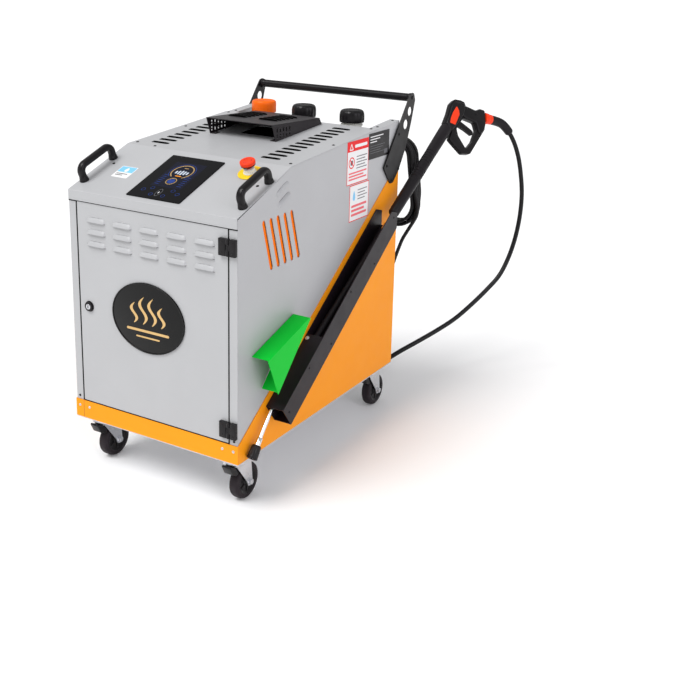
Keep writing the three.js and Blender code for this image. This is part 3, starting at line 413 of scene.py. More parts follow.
def smooth_path(points, spacing):
    """Points every spacing along a centripetal spline through points, as the CAD tubes have it."""
    points = [Vector(p) for p in points]
    padded = [points[0] * 2 - points[1], *points, points[-1] * 2 - points[-2]]
    path = [points[0]]
    for p0, p1, p2, p3 in zip(padded, padded[1:], padded[2:], padded[3:]):
        d0, d1, d2 = (max((b - a).length ** 0.5, 1e-6) for a, b in ((p0, p1), (p1, p2), (p2, p3)))
        t1 = ((p1 - p0) / d0 - (p2 - p0) / (d0 + d1) + (p2 - p1) / d1) * d1
        t2 = ((p2 - p1) / d1 - (p3 - p1) / (d1 + d2) + (p3 - p2) / d2) * d1
        steps = max(2, round((p2 - p1).length / spacing))
        for k in range(1, steps + 1):
            t = k / steps
            h1, h2 = 2 * t**3 - 3 * t**2 + 1, -2 * t**3 + 3 * t**2
            h3, h4 = t**3 - 2 * t**2 + t, t**3 - t**2
            path.append(p1 * h1 + p2 * h2 + t1 * h3 + t2 * h4)
    return path


def strand(name, path, radius, material, resolution=4):
    """A round tube along a path of the cabinet's frame, as a curve of one open spline."""
    curve = bpy.data.curves.new(name, "CURVE")
    curve.dimensions = "3D"
    curve.bevel_depth = radius / 1000
    curve.bevel_resolution = resolution
    curve.use_fill_caps = True
    spline = curve.splines.new("POLY")
    spline.points.add(len(path) - 1)
    for point, place in zip(spline.points, path):
        point.co = (*(CABINET @ Vector(place)), 1)
    spline.use_smooth = True
    return finished(new_object(name, curve), material, "machine")


def length_of(path):
    return sum((b - a).length for a, b in zip(path, path[1:]))


# ---------------------------------------------------------------- small repeated pieces
def at(frame_matrix, x, y, z=0.0):
    return frame_matrix @ Matrix.Translation((x, y, z))


def heads(name, places, profiles, material, body="machine", angle=35):
    """Equal turned heads, all one piece, each on its own frame with local Z pointing out of the surface."""
    bm = bmesh.new()
    for place in places:
        for profile, segments in profiles:
            turned_into(bm, place, profile, segments)
    return from_bmesh(name, bm, material, body, angle)


def domes(name, places, radius, height, material):
    profile = [(0, -0.4), (radius, -0.4), (radius, height * 0.2)]
    for k in range(1, 6):
        a = k / 5 * math.pi / 2
        profile.append((radius * math.cos(a), height * (0.2 + 0.8 * math.sin(a))))
    heads(name, places, [(profile, 24)], material)


def socket_heads(name, places, radius, height, material, body="machine"):
    """Button-head screws with a round key recess."""
    profile = [(0, -0.4), (radius, -0.4), (radius, height * 0.35), (radius * 0.86, height * 0.8),
               (radius * 0.55, height), (radius * 0.45, height), (radius * 0.4, height * 0.25),
               (0, height * 0.25)]
    heads(name, places, [(profile, 20)], material, body)


def hex_heads(name, places, across, height, material, body="machine"):
    """Hexagon bolt heads or nuts with a chamfered top on a washer."""
    washer, r = across * 0.82, across / 2 / math.cos(math.pi / 6)
    heads(name, places, [([(0, -0.3), (washer, -0.3), (washer, 0.9), (0, 0.9)], 28),
                         ([(0, 0.8), (r, 0.8), (r, height - 0.8), (r - 0.8, height), (0, height)], 6)],
          material, body, 25)


# ---------------------------------------------------------------- door
def louvre_into(bm, matrix, width, height, depth):
    """A pressed louvre hood: its open mouth is at local y = 0 and it rises to local z = depth."""
    across, down, thickness = 18, 7, 0.8
    shells = []
    for inset in (0.0, thickness):
        grid = []
        for i in range(across + 1):
            s = -1 + 2 * i / across
            e = max(0.0, 1 - abs(s) ** 5) ** 0.5
            column = []
            for j in range(down + 1):
                v = j / down
                z = (depth - inset) * e * math.sin(v * math.pi / 2) - 0.3
                x = s * (width / 2 - inset)
                column.append(bm.verts.new(matrix @ Vector((x, height * e * (1 - v), z))))
            grid.append(column)
        shells.append(grid)
    outer, inner = shells
    for i in range(across):
        for j in range(down):
            bm.faces.new([outer[i][j], outer[i + 1][j], outer[i + 1][j + 1], outer[i][j + 1]])
            bm.faces.new([inner[i][j], inner[i][j + 1], inner[i + 1][j + 1], inner[i + 1][j]])
        for j, flip in ((0, False), (down, True)):
            face = [outer[i][j], inner[i][j], inner[i + 1][j], outer[i + 1][j]]
            bm.faces.new(face[::-1] if flip else face)
    for i in (0, across):
        for j in range(down):
            face = [outer[i][j], outer[i][j + 1], inner[i][j + 1], inner[i][j]]
            bm.faces.new(face)


def make_door():
    bm = bmesh.new()
    louvre_shade_lines = []
    for row in range(3):
        for column in range(5):
            centre_x = -184 + 90.5 * column
            mouth_z = 731 - 33 * row - 4.6
            louvre_into(bm, at(FRONT, centre_x, mouth_z), 67, 14, 7.0)
            # A dark strip just under each louvre's mouth is a painted shadow.
            louvre_shade_lines.append(box_outline(centre_x - 31, centre_x + 31, mouth_z - 2.0, mouth_z + 1.0, 1.4))
    from_bmesh("door_louvres", bm, GREY, "door", angle=50)
    prism("door_louvre_painted_shadows", FRONT, louvre_shade_lines, -0.4, 0.25, PAINTED_SHADE, "door")

    # Oval badge with a plain rising-steam mark in place of the maker's.
    cx, cz = -10, 491
    badge = at(FRONT, cx, cz)
    prism("badge_plate", badge, [oval(0, 0, 121, 96, 96)], -0.1, 3.2, BLACK_GLOSS, "door", bevel=1.2)
    rim = [oval(0, 0, 123, 98, 96), oval(0, 0, 119, 94, 96)]
    prism("badge_rim", badge, rim, 0.0, 4.4, BLACK_GLOSS, "door", bevel=1.2)
    low, steps = -18, 28
    for k, (x, high, swing) in enumerate(((-46, 42, 9), (-15, 62, 11), (16, 62, 11), (47, 42, 9))):
        outline = []
        for side in (1, -1):
            for i in range(steps + 1):
                u = i / steps if side > 0 else 1 - i / steps
                width = 5.6 * math.sin(math.pi * min(1.0, u * 1.02 + 0.03)) ** 0.6
                middle = x + swing * math.sin(2.2 * math.pi * u)
                outline.append(Vector((middle + side * width, low + (high - low) * u)))
        prism("badge_steam_%d" % k, badge, [outline], 3.0, 3.9, GOLD, "door")
    prism("badge_bar", badge, [box_outline(-72, 72, -40, -33, 3.4)], 3.0, 3.9, GOLD, "door")
    prism("badge_bar_low", badge, [box_outline(-40, 40, -56, -51.5, 2.2)], 3.0, 3.9, GOLD, "door")

    lock = at(FRONT, -218, 485)
    turned("lock_ring", lock, [(13.4, 0.1), (15.2, 0.1), (15.2, 1.4), (13.8, 2.0), (13.4, 1.6), (13.4, 0.1)],
           PLASTIC, "door", 40)
    turned("lock_core", lock, [(0, 5.9), (7.6, 5.9), (7.6, 6.8), (6.4, 7.3), (0, 7.3)], ZINC, "door_lock", 32)
    prism("lock_keyway", lock, [box_outline(-1.4, 1.4, -4.2, 4.2, 1.2)], 7.1, 7.7, PLASTIC, "door_lock")

    # Moulded hinges: a cover on each leaf, and knuckles round the pin that take turns.
    hinge_x, hinge_out, knuckle_r = 254, 5.5, 5.4
    for name, z in (("upper", 731), ("lower", 241)):
        for part, x0, x1, body in (("door", 227, 248.6, "door"), ("frame", 261.6, 279.4, "machine")):
            prism("hinge_%s_%s" % (name, part), at(FRONT, 0, z), [box_outline(x0, x1, -22.5, 22.5, 2.0)], 0.4,
                  10.2, PLASTIC, body, bevel=1.4)
            mid = (x0 + x1) / 2
            socket_heads("hinge_%s_%s_screws" % (name, part),
                         [at(FRONT, mid, z + dz, 10.1) for dz in (-13, 13)], 3.0, 0.5, BLACK, body)
            bm = bmesh.new()
            spans = ((-22.3, -8.2), (8.2, 22.3)) if part == "door" else ((-7.9, 7.9),)
            for low, high in spans:
                pin = at(CABINET, hinge_x, -hinge_out, z)
                turned_into(bm, pin, [(0, low), (knuckle_r - 0.5, low), (knuckle_r, low + 0.5),
                                      (knuckle_r, high - 0.5), (knuckle_r - 0.5, high), (0, high)], 32)
                web_x = (x1 - 1, hinge_x) if part == "door" else (hinge_x, x0 + 1)
                middle = Vector((sum(web_x) / 2, -hinge_out, z + (low + high) / 2))
                size = Matrix.Diagonal((abs(web_x[1] - web_x[0]), 8.6, high - low - 0.6, 1))
                bmesh.ops.create_cube(bm, size=1, matrix=CABINET @ Matrix.Translation(middle) @ size)
            from_bmesh("hinge_%s_%s_knuckles" % (name, part), bm, PLASTIC, body)


# ---------------------------------------------------------------- front and base
def make_front():
    domes("skirt_rivets", [at(FRONT, x, 182, 2) for x in (-267, -231.5, 231.5, 267)], 4.2, 2.2, ZINC)
    socket_heads("frame_screws", [at(FRONT, x, 210, -0.3) for x in (-268, 268)], 3.6, 1.6, BLACK)
    # Painted shade: a dark strip that fills the gap round the door, and one under the control panel's lip.
    low, high, left, right = 201.2, 777.2, -251, 251
    prism("door_gap_painted_shade", FRONT, [box_outline(left - 3, right + 3, low - 1.4, high + 1.6, 1),
                               box_outline(left, right, low, high, 1)], -1.6, 0.9, PAINTED_SHADE)
    for name, x0, x1 in (("left", -279.6, left - 2), ("right", right + 2, 279.6)):
        prism("lip_gap_painted_shade_" + name, FRONT, [box_outline(x0, x1, 775.8, 778.8)], -0.9, 0.9, PAINTED_SHADE)
    prism("skirt_seam", FRONT, [box_outline(-252.9, -251.9, 149, 199)], 1.2, 2.15, CHANNEL)
    # Folded hem along the lower edge of the control panel's lip.
    prism("lip_hem", FRONT, [box_outline(-278, 278, 779.4, 781.6, 0.8)], 1.6, 3.0, GREY, bevel=0.4)


# ---------------------------------------------------------------- control panel
def dial_band(cx, cy, r0, r1, start, end, steps=40):
    """The outline of part of a ring, from one angle to another in degrees."""
    return [polar(r, math.radians(a0 + (a1 - a0) * i / steps), cx, cy)
            for r, a0, a1 in ((r1, start, end), (r0, end, start)) for i in range(steps + 1)]


def make_display():
    glass = 3.1

    def mark(name, top, material, *outlines):
        prism("display_" + name, PANEL, outlines, glass, top, material)

    mark("lit_area", 3.32, SCREEN_DIM, box_outline(-52, 50, 72, 196, 3))
    mark("dial", 3.45, GOLD, dial_band(-2, 151, 30, 33.5, -60, 235))
    mark("dial_scale", 3.4, SCREEN_BLUE, dial_band(-2, 151, 37.5, 39, -50, 225))
    mark("small_dial", 3.45, GOLD, dial_band(-4, 103, 13.5, 16, 0, 359))
    mark("small_field", 3.42, SCREEN_BLUE, oval(-4, 103, 11, 11, 32))
    # Reading bars in place of figures.
    for i, (x, h) in enumerate(((-19, 12), (-10, 17), (-1, 21), (8, 17), (17, 12))):
        mark("bar_%d" % i, 3.45, SCREEN_LIT, box_outline(x - 2.8, x + 2.8, 147 - h / 2, 147 + h / 2, 1.2))
    mark("mark", 3.45, ORANGE, box_outline(-11, 9, 128, 131.5, 1.4))
    mark("mark_top", 3.45, GOLD, box_outline(-8, 6, 168, 171, 1.2))
    for i in range(6):
        y = 84 + 9 * i
        for side, x in (("l", -39), ("r", 35)):
            mark("line_%d_%s" % (i, side), 3.42, SCREEN_BLUE, box_outline(x - 7, x + 7, y - 0.8, y + 0.8))
    for i, (x, y) in enumerate(((-34, 62), (34, 62), (-56, 50), (56, 50), (-20, 34), (20, 34))):
        mark("key_%d" % i, 3.4, SCREEN_BLUE, oval(x, y, 6.2, 6.2, 28), oval(x, y, 5.2, 5.2, 28))
    mark("key_ring", 3.45, LABEL_GREY, oval(-2, 46, 8, 17, 40), oval(-2, 46, 6.6, 15.4, 40))
    mark("key_mark", 3.45, LABEL, box_outline(-3.2, -0.8, 42, 50, 1))


def make_estop():
    x, y = 186, 197.7
    stop = at(PANEL, x, y)
    plate = turned("estop_plate", stop, [(14.0, 0.35), (32, 0.35), (33.2, 1.0), (33.2, 2.4), (32.4, 3.0),
                                         (20, 3.2), (14.0, 3.2), (14.0, 0.35)], YELLOW, segments=72)
    turned("estop_collar", stop, [(7.6, 3.0), (17.5, 3.0), (17.5, 5.5), (15.5, 7.5), (15.0, 16.0),
                                  (13.0, 17.2), (7.6, 17.2), (7.6, 3.0)], CLEAR, segments=56)
    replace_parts(plate, "e_stop_base")
    profile = [(0, 11.0), (6.8, 11.0), (6.8, 24.5), (12, 24.5), (12.4, 26.6), (17.6, 27.2), (20.2, 28.4),
               (20.8, 30.0), (20.8, 35.6), (20.2, 37.6), (18.6, 38.6), (15, 38.4), (8, 37.4), (0, 37.0)]
    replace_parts(turned("estop_head", stop, profile, RED, "e_stop_button", 64, 50), "e_stop_button")
    turned("estop_skirt", stop, [(12.2, 23.2), (16.4, 23.2), (19.6, 25.2), (19.6, 28.0), (12.2, 28.0),
                                 (12.2, 23.2)],
           PLASTIC, "e_stop_button", 56)
    # Three curved turn-to-release arrows stand up a little on the head.
    for k in range(3):
        arrow = dial_band(x, y, 10.6, 13.0, 120 * k, 120 * k + 60, 10)
        prism("estop_arrow_%d" % k, PANEL, [arrow], 36.8, 38.6, RED_DEEP, "e_stop_button", bevel=0.3)


def skin(bm, rings):
    """Joins rings of equal size into a closed solid."""
    for a, b in zip(rings, rings[1:]):
        for i in range(len(a)):
            j = (i + 1) % len(a)
            bm.faces.new([a[i], a[j], b[j], b[i]])
    bm.faces.new(rings[0][::-1])
    bm.faces.new(rings[-1])


def sweep(name, matrix, path, section, material):
    """A closed solid whose section (outline in millimetres) follows a path that stays square to local X."""
    path = [Vector(p) for p in path]
    up = Vector((1, 0, 0))
    bm = bmesh.new()
    rings = []
    for i, p in enumerate(path):
        tangent = (path[min(i + 1, len(path) - 1)] - path[max(i - 1, 0)]).normalized()
        side = tangent.cross(up).normalized()
        rings.append([bm.verts.new(matrix @ (p + up * s[0] + side * s[1])) for s in section])
    skin(bm, rings)
    return from_bmesh(name, bm, material, angle=50)


def arc_points(cy, cz, r, a0, a1, steps=10):
    return [(cy + r * math.cos(math.radians(a0 + (a1 - a0) * i / steps)),
             cz + r * math.sin(math.radians(a0 + (a1 - a0) * i / steps))) for i in range(steps + 1)]


def make_grab_handles():
    y0, y1, rise, bend = 47, 170, 43, 19
    line = [(y0, 8), (y0 - 0.5, 16)]
    line += arc_points(y0 + bend - 1, rise - bend, bend, 180, 90)
    line += arc_points(y1 - bend + 1, rise - bend, bend, 90, 0)
    line += [(y1 + 0.5, 16), (y1, 8)]
    section = [Vector((10.4 * math.copysign(abs(math.cos(a)) ** 0.75, math.cos(a)),
                       9.2 * math.copysign(abs(math.sin(a)) ** 0.75, math.sin(a))))
               for a in circle(28)]
    for name, x in (("left", -262), ("right", 264)):
        bar = sweep("grab_bar_" + name, PANEL, [(x, y, z) for y, z in line], section, PLASTIC)
        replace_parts(bar, "grab_handle_" + name)
        for k, y in enumerate((y0, y1)):
            turned("grab_foot_%s_%d" % (name, k), at(PANEL, x, y),
                   [(0, 0.3), (12.4, 0.3), (13, 1.2), (12.4, 5), (11.2, 12), (9.0, 16), (0, 16)], PLASTIC,
                   segments=40)


def make_panel_sticker():
    prism("panel_sticker", PANEL, [box_outline(-202, -147, 86, 142, 3)], 0.05, 0.45, LABEL)
    prism("panel_sticker_field", PANEL, [box_outline(-200, -149, 113, 140, 2)], 0.4, 0.6, LABEL_BLUE)
    drop = [Vector((-174 + 7.5 * math.sin(a) * math.sin(a / 2) ** 0.8, 125 + 10 * math.cos(a)))
            for a in circle(40)]
    prism("panel_sticker_drop", PANEL, [drop], 0.55, 0.75, LABEL)
    for i, (x0, x1, y) in enumerate(((-196, -158, 105), (-196, -170, 98))):
        prism("panel_sticker_line_%d" % i, PANEL, [box_outline(x0, x1, y - 1.6, y + 1.6, 1)], 0.4, 0.6,
              LABEL_GREY)


def along_deck(y):
    """The distance up the deck's slope of a place y behind the cabinet's front."""
    return (y - DECK_FRONT) / math.cos(DECK_SLOPE)


def make_deck_screws():
    slope = [at(PANEL, x, 146) for x in (-240, 243)]
    deck = [at(DECK, side * 262, along_deck(y)) for side in (-1, 1) for y in (261, 480, 698)]
    seam = [at(DECK, -186, 8)]
    socket_heads("deck_screws", slope + deck + seam, 4.2, 1.7, BLACK)
    flange = [at(CABINET, side * 262, y, DECK_LOW + (y - DECK_FRONT) * math.tan(DECK_SLOPE) - 2.3)
              for side in (-1, 1) for y in (738, 835)]
    socket_heads("flange_screws", flange, 4.2, 1.7, BLACK)


def slot_outline(x0, x1, y, r):
    return box_outline(x0 - r, x1 + r, y - r, y + r, r * 0.99)


def scoops(name, place, spots, width, height, depth, material):
    """Pressed scoops that open towards local -y, with a dark arch of painted shade standing in each mouth."""
    bm = bmesh.new()
    for x, y in spots:
        louvre_into(bm, at(place, x, y), width, height, depth)
    from_bmesh(name, bm, material, angle=50)
    half, rise = width / 2 - 2.5, depth - 1.1
    for row in sorted({y for _, y in spots}):
        mouth_shade_arches = [[Vector((x + half * math.cos(a), rise * abs(math.sin(a)) ** 0.5 - 0.3))
                   for a in (math.pi * k / 20 for k in range(21))] for x, y in spots if y == row]
        upright = place @ basis((1, 0, 0), (0, 0, 1), (0, -1, 0), (0, row + 1.6, 0))
        prism("%s_mouth_painted_shade_%d" % (name, row), upright, mouth_shade_arches, 0.0, 0.8, PAINTED_SHADE)


def make_vents():
    """Dark plates under the deck's and the hood's slots as painted shade, with the scoops pressed up behind
    them.
    """
    rows = [along_deck(284 + i * (656 - 284) / 11) for i in range(12)]
    slots = [slot_outline(x0, x1, y, 6.2) for x0, x1 in ((-223, -172), (157, 208)) for y in rows]
    prism("deck_slot_painted_shade", DECK, slots, -4.0, -0.5, PAINTED_SHADE)
    scoops("deck_scoops", DECK, [(x, y + 4) for x in (-197.5, 182.5) for y in rows], 64, 12, 3.2, GREY)
    # A dark plate under the exhaust opening is painted shade.
    prism("exhaust_painted_shade", DECK, [box_outline(-78, 72, 232, 362)], -9.0, -8.0, PAINTED_SHADE)
    roof = at(CABINET, 0, 420, 965) @ Matrix.Rotation(math.atan2(-9, 254), 4, "X")
    slots = [slot_outline(x0, x0 + 58, 84 + 21 * i, 5.7) for x0 in (-115, -6) for i in range(6)]
    prism("roof_slot_painted_shade", roof, slots, -3.5, -0.4, PAINTED_SHADE)
    scoops("roof_scoops", roof, [(x, 86 + 21 * i) for x in (-86, 23) for i in range(6)], 70, 9.5, 5.5, HOOD_WITH_SHEEN)


def capsule(a, b, r):
    """The outline of a slot from a to b with round ends."""
    a, b, steps = Vector(a), Vector(b), 8
    heading = math.atan2(b.y - a.y, b.x - a.x)
    outline = []
    for centre, start in ((b, heading - math.pi / 2), (a, heading + math.pi / 2)):
        for k in range(steps + 1):
            outline.append(centre + polar(r, start + math.pi * k / steps))
    return outline


# ---------------------------------------------------------------- side panel
# How far out of the middle the side panels' and the handle plates' outer faces are.
SIDE_FACE, PLATE_FACE = 279.0, 286.4


def make_side_labels():
    face = at(RIGHT, 0, 0, SIDE_FACE)

    def patch(name, x0, x1, y0, y1, low, high, material, r=0.0):
        prism(name, face, [box_outline(x0, x1, y0, y1, r)], low, high, material)

    def tablet(name, y0, y1, z0, z1):
        prism(name + "_border", face, [box_outline(y0, y1, z0, z1, 2)], 0.05, 0.35, LABEL_RED)
        patch(name + "_field", y0 + 2.5, y1 - 2.5, z0 + 2.5, z1 - 2.5, 0.3, 0.5, LABEL)

    def lines(name, count, top, step, half, start, ends, low, high, material, r=0.0):
        """Bars in place of lettering, whose right ends take the places in ends in turn."""
        for i in range(count):
            z = top - i * step
            patch("%s_%d" % (name, i), start, ends[i % len(ends)], z - half, z + half, low, high, material, r)

    tablet("warning_label", 530, 655, 793, 920)
    patch("warning_label_band", 532, 653, 890, 918, 0.45, 0.65, LABEL_RED)
    triangle = rounded([(541, 894, 2), (565, 894, 2), (553, 915, 2)], 3)
    inner = rounded([(546, 897, 1), (560, 897, 1), (553, 909, 1)], 3)
    prism("warning_label_triangle", face, [triangle, inner], 0.6, 0.8, LABEL)
    patch("warning_label_band_bar", 573, 645, 899, 908, 0.6, 0.8, LABEL, 3)
    ring = [oval(556, 857, 17, 17, 40), oval(556, 857, 13.5, 13.5, 40)]
    prism("warning_label_ring", face, ring, 0.45, 0.65, LABEL_RED)
    bar = [(544.5, 866.5), (547, 869), (567.5, 847.5), (565, 845)]
    prism("warning_label_stroke", face, [[Vector(p) for p in bar]], 0.45, 0.7, LABEL_RED)
    patch("warning_label_tank", 549, 563, 850, 864, 0.45, 0.6, LABEL_GREY, 3)
    lines("warning_label_line", 5, 872, 8.5, 1.3, 584, (646, 635), 0.45, 0.6, LABEL_GREY)
    lines("warning_label_foot", 3, 826, 9, 2.4, 540, (645, 627), 0.45, 0.6, LABEL_PINK, 1)

    tablet("water_label", 549, 663, 681, 790)
    drop = [Vector((575 + 9 * math.sin(a) * math.sin(a / 2), 757 + 15 * math.cos(a))) for a in circle(40)]
    prism("water_label_drop", face, [drop], 0.45, 0.65, LABEL_BLUE)
    lines("water_label_line", 4, 771, 9, 1.3, 596, (652, 640), 0.45, 0.6, LABEL_GREY)
    lines("water_label_bar", 3, 726, 13, 3.6, 560, (650, 636), 0.45, 0.65, LABEL_PINK, 1.5)

    patch("rating_plate", 656, 783, 850, 928, 0.05, 0.9, PLASTIC, 2)
    lines("rating_plate_head", 3, 917, 8, 1.4, 664, (744, 724, 704), 0.8, 1.0, LABEL)
    lines("rating_plate_line", 4, 889, 7, 0.8, 664, (756, 742, 728), 0.8, 1.0, LABEL_GREY)
    patch("rating_plate_mark", 752, 774, 857, 871, 0.8, 1.0, LABEL_GREY, 2)


def make_side_pressings():
    bm = bmesh.new()
    for y0, z0, y1, z1 in ((171, 829, 226, 856), (180.5, 801, 232, 826)):
        centre = at(RIGHT, (y0 + y1) / 2, (z0 + z1) / 2, SIDE_FACE)
        louvre_into(bm, centre @ Matrix.Rotation(math.atan2(z1 - z0, y1 - y0), 4, "Z"), 64, 12, 6.0)
    from_bmesh("side_louvres", bm, GREY, angle=50)
    # An orange inner sheet, in the darker orange of painted shade, whose own slots sit a little behind the
    # cabinet's, with a dark sheet beyond it as painted shade.
    sheet = [Vector(p) for p in ((92, 628), (300, 628), (300, 796), (92, 788))]
    slots = [capsule((126 + 32.4 * i, 774 + 0.6 * i), (163 + 32.4 * i, 645 + 0.6 * i), 6.6) for i in range(5)]
    prism("slot_inner_sheet", RIGHT, [sheet, *slots], 274.6, 275.8, ORANGE_PAINTED_SHADE)
    prism("slot_painted_shade", RIGHT, [sheet], 266.0, 267.0, PAINTED_SHADE)


# ---------------------------------------------------------------- lance holder, pocket and plates
def make_holder_fittings():
    outer_face = HOLDER @ basis((0, 1, 0), (0, 0, 1), (1, 0, 0), (337, 0, 0))
    places = [(16, -30), (150, -14), (262, -54), (420, -14), (560, -54), (722, -26)]
    socket_heads("holder_screws", [at(outer_face, *place) for place in places], 3.2, 1.3, BLACK)
    hex_heads("holder_bolt", [at(HOLDER, 291, 232)], 7.5, 3.5, ZINC)
    # Rolled hem along the channel's outer lip, and the end of the cover.
    sweep("holder_hem", HOLDER, [(335.9, y, -0.4) for y in (247, 400, 560, 718)],
          [polar(1.3, a) for a in circle(12)], CHANNEL)


def make_handle_fittings():
    spots = [(837, 904), (763, 816), (839, 796), (795, 766)]
    outer = [at(RIGHT, y, z, PLATE_FACE) for y, z in spots] + [at(LEFT, -y, z, PLATE_FACE) for y, z in spots]
    socket_heads("handle_plate_screws", outer, 4.6, 2.2, BLACK)
    half = 282.1
    profile = [(0, 0), (14.5, 0), (14.5, 5.5), (12.9, 7.5), (12.5, 12), (12.5, 2 * half - 12),
               (12.9, 2 * half - 7.5), (14.5, 2 * half - 5.5), (14.5, 2 * half), (0, 2 * half)]
    along_x = CABINET @ pointing((1, 0, 0), (-half, 918, 1009))
    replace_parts(turned("push_bar", along_x, profile, BLACK, segments=56), "handle_bar")
    ends = [at(RIGHT, 918, 1009, PLATE_FACE), at(LEFT, -918, 1009, PLATE_FACE)]
    domes("push_bar_bolts", ends, 6.5, 3.0, BLACK)


# ---------------------------------------------------------------- filler caps
def make_caps():
    r = 39.0
    for name, x, ribs, per_rib, depth, material in (
        ("left", -163, 40, 4, 0.9, CAP_ORANGE), ("middle", -11, 12, 6, 1.8, PLASTIC),
        ("right", 163, 12, 6, 1.8, PLASTIC),
    ):
        place = at(CABINET, x, 755)
        profile = [(0, 971), (31.5, 971), (31.5, 941.2)]
        if name == "left":
            profile += [(r - 1, 941), (r, 942.2), (r, 970), (r - 1.2, 975), (r - 4, 978), (r - 7, 979),
                        (r - 8.5, 977.4), (0, 977.4)]
            ribbed = {4, 5}
        else:
            profile += [(r - 2, 941), (r - 0.8, 942.2), (r, 949), (r, 962), (r - 1.4, 970), (r - 4.6, 975.6),
                        (r - 9, 978.4), (r - 12, 979), (r - 13.2, 977.6), (0, 978.0)]
            ribbed = {4, 5, 6, 7}
        node = "filler_cap_" + name
        cap = turned("cap_" + name, place, profile, material, node, ribs * per_rib, 50, ribs=ribs,
                     depth=depth, ribbed=ribbed)
        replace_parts(cap, node)
        turned("filler_collar_" + name, place,
               [(30.2, 905.5), (40, 905.5), (40, 908), (35, 909.5), (31.2, 914), (31.2, 930), (34, 931),
                (34, 935), (30.2, 936), (30.2, 905.5)], TANK, segments=64)


# ---------------------------------------------------------------- castors
def make_castors():
    r, half = 51, 15
    tyre = [(r - 14, 0.985), (r - 12, 1), (r - 5, 0.95), (r - 1.6, 0.79), (r - 0.2, 0.53), (r, 0.25)]
    rim = [(5.6, -half - 1.8), (11, -half - 1.8), (13, -half + 1.5), (15, -10), (r - 22, -10),
           (r - 19, -12.5), (r - 14.4, -half + 0.4), (r - 14, -half + 0.8)]
    for name, (x, y) in CASTORS.items():
        axle = CABINET @ pointing((1, 0, 0), (x, y + 38, r))
        profile = [(a, -b * half) for a, b in tyre] + [(a, b * half) for a, b in tyre[::-1]]
        profile.append((r - 14, -0.985 * half))
        wheel = turned("tyre_" + name, axle, profile, TYRE, "castor_wheel_" + name, 72, angle=50)
        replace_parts(wheel, "castor_wheel_" + name)
        profile = rim + [(a, -b) for a, b in rim[::-1]] + [rim[0]]
        turned("rim_" + name, axle, profile, PLASTIC, "castor_wheel_" + name, 56)
        # Spokes moulded on both sides of the rim.
        bm = bmesh.new()
        for side in (-1, 1):
            for k in range(6):
                turn = Matrix.Rotation(math.pi * k / 3, 4, "Z")
                spoke = axle @ turn @ Matrix.Translation((22, 0, side * 10.8))
                made = bmesh.ops.create_cube(bm, size=1, matrix=spoke @ Matrix.Diagonal((18, 4.5, 3, 1)))
                bmesh.ops.bevel(bm, geom=list({e for v in made["verts"] for e in v.link_edges}),
                                offset=0.0008, segments=2, profile=0.5, affect="EDGES")
        from_bmesh("spokes_" + name, bm, PLASTIC, "castor_wheel_" + name)
        nuts = [CABINET @ pointing((side, 0, 0), (x + side * 21, y + 38, r)) for side in (-1, 1)]
        hex_heads("axle_nuts_" + name, nuts, 14, 7.5, ZINC, "castor_fork_" + name)
        race = [(27.5, 122.5), (31.5, 122.5), (33.5, 125), (33.5, 128), (31.5, 130.5), (33.8, 133),
                (33.8, 139.5), (27.5, 139.5), (27.5, 122.5)]
        turned("race_" + name, at(CABINET, x, y, 0), race, ZINC, "castor_fork_" + name, 56)
        head = 121.7
        pedal = rounded([
            (y + 22, r + 59.8, 2), (y - 4, head - 5.5, 3), (y - 24, head - 5.5, 4), (y - 40, head + 2, 3),
            (y - 42, head - 2, 2), (y - 30, head - 26, 8), (y - 12, r + 35, 8), (y + 6, r + 50.5, 3),
        ], 4)
        shoe = prism("pedal_" + name, RIGHT, [pedal], x - 15, x + 15, PLASTIC, "castor_pedal_" + name,
                     bevel=1.8)
        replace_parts(shoe, "castor_pedal_" + name)
        mounts = [at(CABINET, x + dx, y + dy, 143.8) @ Matrix.Rotation(math.pi, 4, "X")
                  for dx in (-38, 38) for dy in (-34, 34) if abs(x + dx) < 279 and y + dy > 8]
        hex_heads("castor_bolts_" + name, mounts, 11, 5.5, ZINC)


# ---------------------------------------------------------------- lance and gun
def lance_at(distance):
    return LANCE_HIGH + lance_dir * distance


